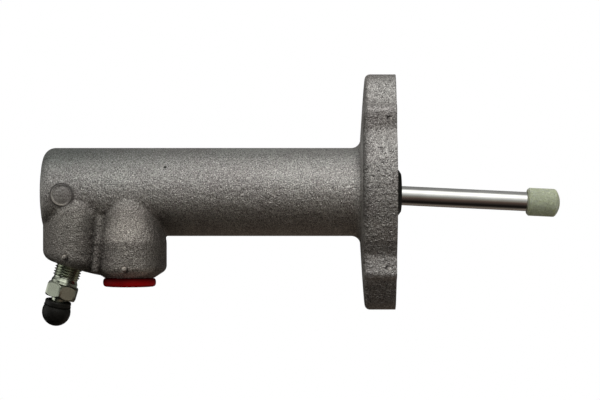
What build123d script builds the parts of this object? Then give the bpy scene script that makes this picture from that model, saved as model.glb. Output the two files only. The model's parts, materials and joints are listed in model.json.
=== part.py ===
"""Hydraulic clutch slave cylinder: cast body, two-bolt flange, sprung piston and swinging push rod."""

import math
import os

from build123d import *

# Millimetres. The origin is where the bore's axis crosses the flange's mounting face.
# +X runs out of the bore along the push rod, and +Z points away from the two ports.
# -Y is the side that the port bosses swell out of.

# Barrel
BARREL_D = 33.0
BARREL_LENGTH = 132.75  # mounting face to the crown of the closed end
END_CROWN_R = 70.0
END_CORNER_R = 4.5
END_WALL = 6.0
BORE_D = 22.2
BORE_CORNER_R = 1.0

# Flange, seen along the bore: half widths along Y and heights along Z
FLANGE_T = 13.3  # at the barrel
FLANGE_DRAFT = 4.0  # degrees, the back face thins towards the ears
FLANGE_BACK_ROUND = 2.0
FLANGE_ROOT_R = 3.4
HUB_HALF_W = 23.2
SHOULDER_Z = 22.9
NECK_HALF_W = 15.9
NECK_TOP_Z = 31.2
NECK_ROUND = 2.4
EAR_FOOT_HALF_W = 12.6
EAR_FOOT_Z = 32.7
EAR_TIP_R = 10.0
EAR_TIP_Z = 44.1
WAIST_CORNER_R = 3.0
EAR_FOOT_R = 1.2
BOLT_SPACING = 70.0
BOLT_HOLE_D = 8.5

# Hydraulic port boss, on a vertical axis
PORT_FROM_END = 33.75  # along the barrel, from its crown
PORT_Y = -7.2
PORT_FACE_Z = -31.8
PORT_BOSS_R = 13.8
PORT_FACE_R = 9.3
PORT_SKIRT_Z = -28.9  # where the cone under the boss meets its side
PORT_SKIRT_ROUND = 3.0
PORT_WAIST_ROUND = 9.0
PORT_CONE_Z = -18.0  # where the side turns into the upper cone
PORT_CONE_ANGLE = 16.75  # degrees from the vertical
PORT_THREAD_D = 11.0  # tapping size of a 12 x 1 thread
PORT_THREAD_DEPTH = 12.5
PORT_PASSAGE_D = 4.0

# Bleed screw boss, on a vertical axis, with its face square to the inclined screw
BLEED_BOSS_FROM_END = 14.55
BLEED_BOSS_Y = -4.2
BLEED_BOSS_R = 13.25
BLEED_BOSS_BULGE_R = 50.0
BLEED_BOSS_SIDE_Z = -14.0  # the side is straight below this
BLEED_BOSS_ROUND = 4.2
BLEED_LEAN = 16.55  # degrees from the vertical, towards the closed end
BLEED_FACE_FROM_END = 11.05
BLEED_FACE_Z = -27.5

BOSS_ROOT_R = 1.4  # where the bosses swell out of the barrel

# Web cast between the two bosses
WEB_FROM_END = 24.35
WEB_W = 2.7
WEB_LEAN = 5.0  # degrees, its foot leans towards the closed end
WEB_DEPTH = 17.3
WEB_TOP_DEPTH = 15.2
WEB_TOP_Z = -9.4
WEB_KNEE_Z = -18.5
WEB_BOTTOM_Z = -29.4

# Ejector pad and pips left by the mould
PAD_FROM_END = 9.6
PAD_Z = -1.2
PAD_R = 4.25
PAD_RING_W = 0.5
PAD_RING_H = 0.28
PAD_FLAT_DEPTH = 0.4
PIP_POINT = 0.4  # of its radius, at its blunt point
PORT_PIP = (-0.8, -28.3, 1.1)  # along the barrel from the port's axis, height and radius
BLEED_PIP = (-3.9, -24.0, 1.1)  # the same from the bleed boss's axis
EDGE_PIPS = ((-2.6, 26.8, 0.8), (-3.0, -28.3, 0.9))  # on the flange's side: depth, height and radius

# Mouth of the bore
MOUTH_D = 24.6
MOUTH_DEPTH = 7.0
RING_GROOVE_X = -10.55  # middle of the retaining ring's groove
RING_GROOVE_D = 24.0
RING_T = 1.2
RING_SIDE_GAP = 0.05
RING_BAND = 2.0
RING_GAP_ANGLE = 50.0
RING_LUG_R = 2.0
RING_LUG_SET = 0.85  # from the ring's inner edge in to the middle of the lug's hole
RING_LUG_HOLE_D = 1.8
RING_LUG_TURN = 8.0  # degrees from the ring's end to the middle of its lug
WASHER_T = 1.2
WASHER_BORE_D = 12.6
RUNNING_GAP = 0.05  # radial, between the bore and what slides in it
SEAT_GAP = 0.1  # between faces of different bodies that meet at rest

# Piston, its socket and the rod's ball
BALL_X = -26.0  # the middle of the ball, from the mounting face
STROKE = 25.0  # how far the piston can be pushed in from its stop
BALL_R = 4.3
BALL_GAP = 0.1
SOCKET_ENTRY_R = 4.9
SOCKET_FLARE_R = 6.6
SOCKET_FLARE_DEPTH = 3.5
PISTON_LENGTH = 27.8
GUIDE_W = 3.0
GUIDE_DEPTH = 1.2
GUIDE_SETBACK = 5.0  # piston's outer face to the guide ring
REAR_SEAL_W = 4.0
REAR_SEAL_DEPTH = 2.6
REAR_SEAL_SETBACK = 20.5
STEM_R = 4.5
STEM_LENGTH = 9.4
CUP_LENGTH = 6.2
CUP_BASE_T = 2.4
CUP_LIP_T = 1.9
SEAL_SIDE_GAP = 0.1
CLIP_X_FROM_BALL = 4.6
CLIP_T = 1.0
CLIP_INNER_R = 4.0
CLIP_OUTER_R = 5.4
CLIP_OPEN_ANGLE = 28.0

# Return spring and its seat
SEAT_PLATE_T = 0.8
SEAT_PLATE_R = 10.0
SEAT_SLEEVE_R = 7.0
SEAT_SLEEVE_LENGTH = 4.4
SPRING_R = 8.3
SPRING_WIRE_D = 1.6
SPRING_TURNS = 8.5  # open ones, with a closed one more at each end
SPRING_CLOSED_PITCH = 1.06  # of the wire
SPRING_END_GAP = 0.02
SPRING_STEPS = 10  # straight stretches in a turn
SPRING_SIDES = 6  # of the wire's section

# Push rod, along its own axis from the middle of its ball
ROD_DROOP = 2.74  # degrees that the rod hangs below the bore's axis
ROD_R = 3.6
ROD_NECK_R = 3.0
ROD_NECK_END = 7.6
ROD_END = 84.6
ROD_END_CHAMFER = 0.8
ROD_IN_TIP = 9.2  # how far the rod reaches into its tip
TIP_START = ROD_END - ROD_IN_TIP
TIP_LENGTH = 12.4
TIP_R = 5.25
TIP_DOME_H = 1.9
TIP_EDGE_ROUND = 1.6
TIP_COLLAR_CHAMFER = 0.75
TIP_FIT_GAP = 0.03

# Dust boot
BOOT_FIT_GAP = 0.1
BOOT_WALL = 1.3
BOOT_SHOULDER_R = 10.6
BOOT_SHOULDER_SLOPE = 1.5  # how much narrower the shoulder is where it leaves the face
BOOT_SHOULDER_X = 0.2
BOOT_NOSE_R = 7.25
BOOT_NOSE_X = 2.75
BOOT_NOSE_ROUND = 0.8
BOOT_LIP_GAP = 0.1  # around the rod at the ends of its swing and its stroke
BOOT_LIP_BACK = 3.4  # how far the lip's sleeve reaches back from the nose
BOOT_BACK_GAP = 0.15

# Bleed screw, along its own axis from the boss's face outwards
SCREW_THREAD_D = 10.0
SCREW_THREAD_DEPTH = 0.6
SCREW_THREAD_GAP = 0.06
SCREW_THREAD_END = 4.9
SCREW_THREAD_IN = 12.0
SCREW_TIP_R = 3.9
SCREW_TIP_IN = 14.0
SCREW_POINT_R = 1.4
SCREW_COLLAR_R = 4.95
SCREW_CROSS_IN = 13.0
SCREW_HEX_START = 7.2
SCREW_HEX_END = 12.6
SCREW_HEX_AF = 11.0
SCREW_HEX_CHAMFER = 0.75
NIPPLE_R = 3.0
NIPPLE_BARB_R = 3.3
NIPPLE_END = 20.4
NIPPLE_END_R = 2.4
SCREW_BORE_D = 2.4
SCREW_CROSS_D = 1.8
BLEED_SEAT_GAP = 0.16
BLEED_PASSAGE_D = 3.0

# Rubber cap on the bleed screw's nipple
CAP_START = 13.4
CAP_SAG = 4.0  # degrees it hangs off the screw's axis, towards the vertical
CAP_TURN = -6.0  # degrees it hangs towards -Y
CAP_LIP_R = 4.95
CAP_LIP_LENGTH = 1.9
CAP_GROOVE_R = 4.5
CAP_BALL_R = 5.35
CAP_BALL_FROM_START = 4.4
CAP_FIT_GAP = 0.08
CAP_END_GAP = 0.3

# Transport plug in the hydraulic port
PLUG_FLANGE_R = 9.8
PLUG_FLANGE_T = 3.1
PLUG_FACE_GAP = 0.08
PLUG_EDGE_ROUND = 1.15
PLUG_STEM_LENGTH = 9.0
PLUG_STEM_GAP = 0.35
PLUG_RIB_GAP = 0.08
PLUG_RIB_W = 1.0
PLUG_RIB_COUNT = 2
PLUG_HOLLOW_R = 3.9
PLUG_ROOF_T = 1.4

# Places worked out from the sizes above
BARREL_R = BARREL_D / 2
PORT_X = PORT_FROM_END - BARREL_LENGTH
BLEED_BOSS_X = BLEED_BOSS_FROM_END - BARREL_LENGTH
BLEED_FACE_X = BLEED_FACE_FROM_END - BARREL_LENGTH
WEB_X = WEB_FROM_END - BARREL_LENGTH
PAD_X = PAD_FROM_END - BARREL_LENGTH
BEYOND = 3 * (BARREL_LENGTH + HUB_HALF_W + EAR_TIP_Z)  # larger than the whole, for cutting tools
BORE_R = BORE_D / 2
SLIDING_R = BORE_R - RUNNING_GAP
BORE_BOTTOM_X = END_WALL - BARREL_LENGTH
WASHER_X = RING_GROOVE_X - RING_T / 2 - WASHER_T  # the stop washer's inner face
PISTON_X = WASHER_X - SEAT_GAP  # the piston's outer face
PISTON_FRONT_X = PISTON_X - PISTON_LENGTH
STEM_END_X = PISTON_FRONT_X - STEM_LENGTH
CUP_X = PISTON_FRONT_X - SEAL_SIDE_GAP
SEAT_X = CUP_X - CUP_LENGTH - SEAL_SIDE_GAP
SPRING_FRONT_X = SEAT_X - SEAT_PLATE_T
SPRING_BACK_X = BORE_BOTTOM_X

OUTWARDS = 90.0  # a turn about Y that points a piece's own axis straight down
ROD_PLACE = Location((BALL_X, 0, 0), (0, ROD_DROOP, 0))
BLEED_PLACE = Location((BLEED_FACE_X, BLEED_BOSS_Y, BLEED_FACE_Z), (0, OUTWARDS + BLEED_LEAN, 0))
PORT_PLACE = Location((PORT_X, PORT_Y, PORT_FACE_Z), (0, OUTWARDS, 0))


def turned(*outline):
    """A body of revolution about X, from (along, radius) points."""
    return revolve(make_face(Polyline(*outline, close=True)), Axis.X)


def disc(start, end, radius):
    """A plain cylinder along X between two places."""
    return turned((start, 0), (end, 0), (end, radius), (start, radius))


def hollow_disc(start, end, inner, outer):
    """A ring along X between two places."""
    return turned((start, inner), (end, inner), (end, outer), (start, outer))


def beyond_x():
    """A block that holds everything past the origin along X."""
    return Box(BEYOND, BEYOND, BEYOND, align=(Align.MIN, Align.CENTER, Align.CENTER))


def upright(*outline):
    """A body of revolution about Z, from (radius, height) points."""
    return revolve(make_face(Plane.XZ * Polyline(*outline, close=True)), Axis.Z)


def near(vertices, *places):
    """The outline's corners that stand at the given (|x|, |y|) places."""
    return [
        v
        for v in vertices
        if any(math.hypot(abs(v.X) - x, abs(v.Y) - y) < 0.05 for x, y in places)
    ]


def barrel():
    """The round barrel with its crowned closed end."""
    crown_drop = END_CROWN_R - math.sqrt(END_CROWN_R**2 - BARREL_R**2)
    mid_drop = END_CROWN_R - math.sqrt(END_CROWN_R**2 - (BARREL_R / 2) ** 2)
    crown = (-BARREL_LENGTH, 0)
    edge = (-BARREL_LENGTH + crown_drop, BARREL_R)
    arc = ThreePointArc(crown, (-BARREL_LENGTH + mid_drop, BARREL_R / 2), edge)
    rest = Polyline(edge, (-FLANGE_T / 2, BARREL_R), (-FLANGE_T / 2, 0), crown)
    body = revolve(make_face(Wire([*arc.edges(), *rest.edges()])), Axis.X)
    rim = [
        e
        for e in body.edges()
        if e.geom_type == GeomType.CIRCLE
        and abs(e.radius - BARREL_R) < 0.01
        and e.center().X < -BARREL_LENGTH / 2
    ]
    return fillet(rim, END_CORNER_R)


def flange_outline():
    """The flange's outline seen along the bore: a round waist and two tapered ears."""
    tip_z = EAR_TIP_Z - EAR_TIP_R
    run = Vector(EAR_FOOT_HALF_W, EAR_FOOT_Z - tip_z)
    lean = math.atan2(run.Y, run.X) + math.acos(EAR_TIP_R / run.length)
    touch = (math.cos(lean) * EAR_TIP_R, tip_z + math.sin(lean) * EAR_TIP_R)
    right = ThreePointArc((NECK_HALF_W, -SHOULDER_Z), (HUB_HALF_W, 0), (NECK_HALF_W, SHOULDER_Z))
    left = ThreePointArc((-NECK_HALF_W, SHOULDER_Z), (-HUB_HALF_W, 0), (-NECK_HALF_W, -SHOULDER_Z))
    top = Line((NECK_HALF_W, SHOULDER_Z), (-NECK_HALF_W, SHOULDER_Z))
    base = Line((-NECK_HALF_W, -SHOULDER_Z), (NECK_HALF_W, -SHOULDER_Z))
    hub = make_face(Wire([*right.edges(), *top.edges(), *left.edges(), *base.edges()]))
    ear = make_face(
        Polyline(
            (NECK_HALF_W, 0),
            (NECK_HALF_W, NECK_TOP_Z),
            (EAR_FOOT_HALF_W, EAR_FOOT_Z),
            touch,
            (-touch[0], touch[1]),
            (-EAR_FOOT_HALF_W, EAR_FOOT_Z),
            (-NECK_HALF_W, NECK_TOP_Z),
            (-NECK_HALF_W, 0),
            close=True,
        )
    )
    ear = ear + Pos(0, tip_z) * Circle(EAR_TIP_R)
    whole = hub + ear + mirror(ear, Plane.XZ)
    whole = fillet(near(whole.vertices(), (EAR_FOOT_HALF_W, EAR_FOOT_Z)), EAR_FOOT_R)
    whole = fillet(near(whole.vertices(), (NECK_HALF_W, SHOULDER_Z)), WAIST_CORNER_R)
    return fillet(near(whole.vertices(), (NECK_HALF_W, NECK_TOP_Z)), NECK_ROUND)


def flange():
    """The drafted flange plate with its back edge rounded."""
    far_r = EAR_TIP_Z + FLANGE_T
    thinning = math.tan(math.radians(FLANGE_DRAFT)) * (far_r - BARREL_R)
    plate = extrude(Plane.YZ * flange_outline(), -FLANGE_T)
    draft = [(-FLANGE_T, 0), (-FLANGE_T, BARREL_R), (thinning - FLANGE_T, far_r), (0, far_r), (0, 0)]
    plate = plate & turned(*draft)
    back_edges = [
        e
        for e in plate.edges()
        if e.center().X < -FLANGE_T / 2
        and math.hypot(e.center().Y, e.center().Z) > BARREL_R + 2
        and abs(e.tangent_at(0.5).X) < 0.4
    ]
    return fillet(back_edges, FLANGE_BACK_ROUND)


def port_boss():
    """The hydraulic port's boss: a cone out of the barrel, a straight skirt and a chamfered foot."""
    top_r = PORT_BOSS_R + math.tan(math.radians(PORT_CONE_ANGLE)) * PORT_CONE_Z
    boss = upright(
        (0, 0),
        (top_r, 0),
        (PORT_BOSS_R, PORT_CONE_Z),
        (PORT_BOSS_R, PORT_SKIRT_Z),
        (PORT_FACE_R, PORT_FACE_Z),
        (0, PORT_FACE_Z),
    )
    for height, r in ((PORT_SKIRT_Z, PORT_SKIRT_ROUND), (PORT_CONE_Z, PORT_WAIST_ROUND)):
        circles = boss.edges().filter_by(GeomType.CIRCLE)
        boss = fillet([e for e in circles if abs(e.center().Z - height) < 0.01], r)
    return Pos(PORT_X, PORT_Y, 0) * boss


def bleed_boss():
    """The bleed screw's boss: a swelling column cut square to the inclined screw."""
    low = 2 * PORT_FACE_Z
    swell = BLEED_BOSS_BULGE_R
    centre_r = BLEED_BOSS_R - swell
    top_r = centre_r + math.sqrt(swell**2 - BLEED_BOSS_SIDE_Z**2)
    mid_r = centre_r + math.sqrt(swell**2 - (BLEED_BOSS_SIDE_Z / 2) ** 2)
    side = ThreePointArc((top_r, 0), (mid_r, BLEED_BOSS_SIDE_Z / 2), (BLEED_BOSS_R, BLEED_BOSS_SIDE_Z))
    rest = Polyline((BLEED_BOSS_R, BLEED_BOSS_SIDE_Z), (BLEED_BOSS_R, low), (0, low), (0, 0), (top_r, 0))
    outline = Plane.XZ * Wire([*side.edges(), *rest.edges()])
    column = Pos(BLEED_BOSS_X, BLEED_BOSS_Y, 0) * revolve(make_face(outline), Axis.Z)
    column = column - BLEED_PLACE * beyond_x()
    foot = column.faces().sort_by(Axis.Z)[0]
    return fillet(foot.edges(), BLEED_BOSS_ROUND)


def web():
    """The narrow fin cast in the valley between the two bosses."""
    fin = make_face(
        Plane.YZ
        * Polyline(
            (0, WEB_TOP_Z),
            (-WEB_TOP_DEPTH, WEB_TOP_Z),
            (-WEB_DEPTH, WEB_KNEE_Z),
            (-WEB_DEPTH, WEB_BOTTOM_Z),
            (0, WEB_BOTTOM_Z),
            close=True,
        )
    )
    fin = Pos(-WEB_W / 2, 0, 0) * extrude(fin, WEB_W)
    edges = [e for e in fin.edges() if e.center().Y < -WEB_TOP_DEPTH - 0.5 and abs(e.tangent_at(0.5).X) < 0.1]
    return Pos(WEB_X, 0, 0) * Rot(0, WEB_LEAN, 0) * fillet(edges, WEB_W * 0.42)


def pip_cone(radius):
    """A small blunt cone pointing to -Y, half of it above its place."""
    return Rot(90, 0, 0) * Cone(radius, radius * PIP_POINT, 1.5 * radius)


def mould_marks():
    """The ejector pad's raised ring and the pips, as pieces to add."""
    ring = Rot(90, 0, 0) * (Cylinder(PAD_R, BEYOND) - Cylinder(PAD_R - PAD_RING_W, BEYOND))
    skin = hollow_disc(-BARREL_LENGTH, -FLANGE_T, BARREL_R - 1.5, BARREL_R + PAD_RING_H)
    front = Pos(PAD_X, -BARREL_R, PAD_Z) * Box(3 * PAD_R, BARREL_R, 3 * PAD_R)
    marks = [Pos(PAD_X, 0, PAD_Z) * ring & skin & front]
    for boss_x, boss_y, boss_r, pip in (
        (PORT_X, PORT_Y, PORT_BOSS_R, PORT_PIP),
        (BLEED_BOSS_X, BLEED_BOSS_Y, BLEED_BOSS_R, BLEED_PIP),
    ):
        along, height, r = pip
        marks.append(Pos(boss_x + along, boss_y - math.sqrt(boss_r**2 - along**2), height) * pip_cone(r))
    for depth, height, r in EDGE_PIPS:
        marks.append(Pos(depth, -NECK_HALF_W, height) * pip_cone(r))
    return marks


def bleed_hole():
    """The bleed screw's threaded hole, its conical seat and the passage to the bore."""
    wall_r = SCREW_THREAD_D / 2 + SCREW_THREAD_GAP
    tip_r = SCREW_TIP_R + SCREW_THREAD_GAP + 0.1
    seat_in = SCREW_TIP_IN + BLEED_SEAT_GAP
    point_in = seat_in + tip_r - BLEED_PASSAGE_D / 2
    return turned(
        (1, 0),
        (1, wall_r),
        (-SCREW_THREAD_IN - 0.6, wall_r),
        (-SCREW_THREAD_IN - 0.6, tip_r),
        (-seat_in, tip_r),
        (-point_in, BLEED_PASSAGE_D / 2),
        (-point_in - 7.5, BLEED_PASSAGE_D / 2),
        (-point_in - 7.5, 0),
    )


def cylinder_body():
    """The cast and machined body."""
    body = barrel() + flange()
    root = [
        e
        for e in body.edges()
        if e.geom_type == GeomType.CIRCLE
        and abs(e.radius - BARREL_R) < 0.05
        and -FLANGE_T - 1 < e.center().X < -FLANGE_T / 2 - 1
    ]
    body = fillet(root, FLANGE_ROOT_R)
    on_floor = (Align.CENTER, Align.CENTER, Align.MIN)
    above_face = Pos(0, 0, PORT_FACE_Z) * Box(BEYOND, BEYOND, BEYOND, align=on_floor)
    body = body + port_boss() + (bleed_boss() & above_face)
    seams = [
        e
        for e in body.edges()
        if e.geom_type == GeomType.BSPLINE
        and all(abs(math.hypot((e @ t).Y, (e @ t).Z) - BARREL_R) < 0.01 for t in (0.1, 0.3, 0.5, 0.7, 0.9))
    ]
    body = fillet(seams, BOSS_ROOT_R) + web()
    pad_place = Pos(PAD_X, -BARREL_R, PAD_Z) * Rot(90, 0, 0)
    flat = pad_place * Cylinder(PAD_R - PAD_RING_W / 2, 2 * PAD_FLAT_DEPTH)
    body = body - flat
    for mark in mould_marks():
        body = body + mark
    body = body - turned(
        (BORE_BOTTOM_X, 0),
        (BORE_BOTTOM_X, BORE_R - BORE_CORNER_R),
        (BORE_BOTTOM_X + BORE_CORNER_R, BORE_R),
        (-MOUTH_DEPTH, BORE_R),
        (-MOUTH_DEPTH, MOUTH_D / 2),
        (1, MOUTH_D / 2),
        (1, 0),
    )
    groove_half = RING_T / 2 + RING_SIDE_GAP
    body = body - disc(RING_GROOVE_X - groove_half, RING_GROOVE_X + groove_half, RING_GROOVE_D / 2)
    for side in (-1, 1):
        body = body - Pos(0, 0, side * BOLT_SPACING / 2) * disc(-2 * FLANGE_T, 1, BOLT_HOLE_D / 2)
    port_top = PORT_THREAD_D / 4
    port = turned(
        (1, 0),
        (1, PORT_THREAD_D / 2 + 1),
        (0, PORT_THREAD_D / 2 + 1),
        (-1, PORT_THREAD_D / 2),
        (-PORT_THREAD_DEPTH, PORT_THREAD_D / 2),
        (-PORT_THREAD_DEPTH - port_top, PORT_PASSAGE_D / 2),
        (PORT_FACE_Z + BORE_R / 2, PORT_PASSAGE_D / 2),
        (PORT_FACE_Z + BORE_R / 2, 0),
    )
    return body - PORT_PLACE * port - BLEED_PLACE * bleed_hole()


def bleed_screw():
    """The bleed screw along its own axis: shank at its thread's crests, collar, hexagon and nipple."""
    crest = SCREW_THREAD_D / 2
    root = crest - SCREW_THREAD_DEPTH
    point = -SCREW_TIP_IN - SCREW_TIP_R + SCREW_POINT_R
    outline = [
        (point, 0),
        (point, SCREW_POINT_R),
        (-SCREW_TIP_IN, SCREW_TIP_R),
        (-SCREW_THREAD_IN, SCREW_TIP_R),
        (-SCREW_THREAD_IN, root),
        (-SCREW_THREAD_IN + SCREW_THREAD_DEPTH, crest),
        (SCREW_THREAD_END - SCREW_THREAD_DEPTH / 2, crest),
        (SCREW_THREAD_END, root),
        (SCREW_THREAD_END + SCREW_THREAD_DEPTH / 2, SCREW_COLLAR_R),
        (SCREW_HEX_START + 1, SCREW_COLLAR_R),
        (SCREW_HEX_START + 1, 0),
    ]
    shank = turned(*outline)
    hexagon = Plane.YZ * RegularPolygon(SCREW_HEX_AF / 2, 6, major_radius=False)
    head = Pos(SCREW_HEX_START, 0, 0) * extrude(hexagon, SCREW_HEX_END - SCREW_HEX_START)
    corner = SCREW_HEX_AF / math.sqrt(3) + 0.01
    face_r = SCREW_HEX_AF / 2 - 0.15
    head = head & turned(
        (SCREW_HEX_START, 0),
        (SCREW_HEX_START, face_r),
        (SCREW_HEX_START + SCREW_HEX_CHAMFER, corner),
        (SCREW_HEX_END - SCREW_HEX_CHAMFER, corner),
        (SCREW_HEX_END, face_r),
        (SCREW_HEX_END, 0),
    )
    nipple = turned(
        (SCREW_HEX_END - 1, 0),
        (SCREW_HEX_END - 1, NIPPLE_R),
        (NIPPLE_END - 3.8, NIPPLE_R),
        (NIPPLE_END - 3.2, NIPPLE_BARB_R),
        (NIPPLE_END - 2.6, NIPPLE_BARB_R),
        (NIPPLE_END, NIPPLE_END_R),
        (NIPPLE_END, 0),
    )
    screw = shank + head + nipple
    screw = screw - disc(-SCREW_CROSS_IN, NIPPLE_END + 1, SCREW_BORE_D / 2)
    cross = Rot(90, 0, 0) * Cylinder(SCREW_CROSS_D / 2, SCREW_HEX_AF)
    return BLEED_PLACE * (screw - Pos(-SCREW_CROSS_IN + SCREW_BORE_D / 2, 0, 0) * cross)


def bleed_cap():
    """The rubber cap, sagging a little on the nipple it covers."""
    ball_x = CAP_START + CAP_BALL_FROM_START
    groove_x = CAP_START + CAP_LIP_LENGTH
    lip = turned(
        (CAP_START, 0),
        (CAP_START, CAP_LIP_R - 0.5),
        (CAP_START + 0.3, CAP_LIP_R - 0.1),
        (CAP_START + 0.8, CAP_LIP_R),
        (groove_x - 0.4, CAP_LIP_R),
        (groove_x, CAP_GROOVE_R),
        (groove_x + 0.5, CAP_GROOVE_R),
        (ball_x, CAP_GROOVE_R),
        (ball_x, 0),
    )
    ball = Pos(ball_x, 0, 0) * Sphere(CAP_BALL_R)
    ball = ball & disc(groove_x + 0.15, ball_x + 2 * CAP_BALL_R, 2 * CAP_BALL_R)
    sag = Pos(CAP_START, 0, 0) * Rot(0, -CAP_SAG, 0) * Rot(0, 0, CAP_TURN) * Pos(-CAP_START, 0, 0)
    cap = sag * (lip + ball)
    bore = disc(CAP_START - 2, NIPPLE_END + CAP_END_GAP, NIPPLE_BARB_R + CAP_FIT_GAP)
    return BLEED_PLACE * (cap - bore)


def port_plug():
    """The plastic transport plug: a round head and a ribbed hollow stem."""
    hole_r = PORT_THREAD_D / 2
    stem_r = hole_r - PLUG_STEM_GAP
    head = disc(PLUG_FACE_GAP, PLUG_FACE_GAP + PLUG_FLANGE_T, PLUG_FLANGE_R)
    head = fillet(head.edges().filter_by(GeomType.CIRCLE), PLUG_EDGE_ROUND)
    plug = head + disc(-PLUG_STEM_LENGTH, PLUG_FACE_GAP + 1, stem_r)
    rib_top = hole_r - PLUG_RIB_GAP
    for count in range(PLUG_RIB_COUNT):
        rib_x = -2.4 - 2.4 * count
        plug = plug + turned(
            (rib_x, stem_r - 0.5),
            (rib_x, rib_top),
            (rib_x - PLUG_RIB_W / 2, rib_top),
            (rib_x - PLUG_RIB_W, stem_r),
            (rib_x - PLUG_RIB_W, stem_r - 0.5),
        )
    plug = plug - disc(-PLUG_STEM_LENGTH - 1, PLUG_FACE_GAP + PLUG_FLANGE_T - PLUG_ROOF_T, PLUG_HOLLOW_R)
    return PORT_PLACE * plug


def stop_washer():
    """The washer that the piston stops against."""
    return hollow_disc(WASHER_X, WASHER_X + WASHER_T, WASHER_BORE_D / 2, SLIDING_R)


def retaining_ring():
    """The internal snap ring with its two plier lugs."""
    outer = RING_GROOVE_D / 2 - RUNNING_GAP
    half = RING_T / 2
    ring = hollow_disc(-half, half, outer - RING_BAND, outer)
    wedge_r = 3 * outer
    side = math.radians(RING_GAP_ANGLE / 2)
    left = (wedge_r * math.sin(-side), wedge_r * math.cos(side))
    right = (wedge_r * math.sin(side), wedge_r * math.cos(side))
    wedge = make_face(Plane.YZ * Polyline((0, 0), left, right, close=True))
    ring = ring - Pos(-RING_T, 0, 0) * extrude(wedge, 2 * RING_T)
    for sign in (-1, 1):
        turn = Rot(sign * (RING_GAP_ANGLE / 2 + RING_LUG_TURN), 0, 0)
        place = turn * Pos(0, 0, outer - RING_BAND - RING_LUG_SET)
        ring = ring + place * disc(-half, half, RING_LUG_R)
        ring = ring - place * disc(-RING_T, RING_T, RING_LUG_HOLE_D / 2)
    return Pos(RING_GROOVE_X, 0, 0) * ring


def piston():
    """The piston with its grooves, its rod socket and the stem for the cup."""
    groove_a = PISTON_X - GUIDE_SETBACK
    groove_b = PISTON_X - REAR_SEAL_SETBACK
    body = turned(
        (PISTON_X, 0),
        (PISTON_X, SLIDING_R - 0.6),
        (PISTON_X - 0.6, SLIDING_R),
        (groove_a, SLIDING_R),
        (groove_a, SLIDING_R - GUIDE_DEPTH),
        (groove_a - GUIDE_W, SLIDING_R - GUIDE_DEPTH),
        (groove_a - GUIDE_W, SLIDING_R),
        (groove_b, SLIDING_R),
        (groove_b, SLIDING_R - REAR_SEAL_DEPTH),
        (groove_b - REAR_SEAL_W, SLIDING_R - REAR_SEAL_DEPTH),
        (groove_b - REAR_SEAL_W, SLIDING_R),
        (PISTON_FRONT_X, SLIDING_R),
        (PISTON_FRONT_X, STEM_R),
        (STEM_END_X + 0.5, STEM_R),
        (STEM_END_X, STEM_R - 0.5),
        (STEM_END_X, 0),
    )
    seat_r = BALL_R + BALL_GAP
    body = body - Pos(BALL_X, 0, 0) * Sphere(seat_r)
    body = body - turned(
        (BALL_X, 0),
        (BALL_X, seat_r),
        (BALL_X + 1.0, SOCKET_ENTRY_R),
        (PISTON_X - SOCKET_FLARE_DEPTH, SOCKET_ENTRY_R),
        (PISTON_X, SOCKET_FLARE_R),
        (PISTON_X + 1, SOCKET_FLARE_R),
        (PISTON_X + 1, 0),
    )
    clip_x = BALL_X + CLIP_X_FROM_BALL
    clip_half = CLIP_T / 2 + RUNNING_GAP
    return body - disc(clip_x - clip_half, clip_x + clip_half, CLIP_OUTER_R + RUNNING_GAP)


def ring_in_groove(setback, width, depth, lobes):
    """A band or a lobed seal lying in one of the piston's grooves."""
    start = PISTON_X - setback - SEAL_SIDE_GAP / 2
    end = start - width + SEAL_SIDE_GAP
    inner = SLIDING_R - depth + SEAL_SIDE_GAP / 2
    if not lobes:
        return hollow_disc(end, start, inner, BORE_R - 0.02)
    middle = (start + end) / 2
    dip = (SLIDING_R - inner) * 0.25
    return turned(
        (start, inner + dip),
        (start, BORE_R - 0.02 - dip),
        (start - 0.5, BORE_R - 0.02),
        (start - 1.1, BORE_R - 0.02),
        (middle, BORE_R - 0.02 - dip),
        (end + 1.1, BORE_R - 0.02),
        (end + 0.5, BORE_R - 0.02),
        (end, BORE_R - 0.02 - dip),
        (end, inner + dip),
        (end + 0.5, inner),
        (start - 0.5, inner),
    )


def primary_cup():
    """The rubber cup that holds the pressure, lips towards the spring."""
    back = CUP_X - CUP_LENGTH
    hub_r = STEM_R + 0.05
    lip_r = BORE_R - 0.02
    return turned(
        (CUP_X, hub_r),
        (CUP_X, lip_r - 0.6),
        (CUP_X - 0.6, lip_r - 0.15),
        (back + 1.5, lip_r),
        (back + 0.3, lip_r - 0.05),
        (back, lip_r - 0.5),
        (back + 0.6, lip_r - CUP_LIP_T + 0.3),
        (CUP_X - CUP_BASE_T - 0.6, lip_r - CUP_LIP_T),
        (CUP_X - CUP_BASE_T, lip_r - CUP_LIP_T - 0.8),
        (CUP_X - CUP_BASE_T, hub_r + 1.6),
        (back + 1.4, hub_r + 1.3),
        (back, hub_r + 1.1),
        (back, hub_r),
    )


def spring_seat():
    """The pressed seat that carries the spring on the piston's stem."""
    inner = STEM_R + 0.05
    sleeve_end = SPRING_FRONT_X - SEAT_SLEEVE_LENGTH
    return turned(
        (SEAT_X, inner),
        (SEAT_X, SEAT_PLATE_R),
        (SPRING_FRONT_X, SEAT_PLATE_R),
        (SPRING_FRONT_X, SEAT_SLEEVE_R),
        (sleeve_end + 0.8, SEAT_SLEEVE_R),
        (sleeve_end, SEAT_SLEEVE_R - 0.8),
        (sleeve_end, 0),
        (sleeve_end + 1.0, 0),
        (sleeve_end + 1.0, inner),
    )


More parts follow.
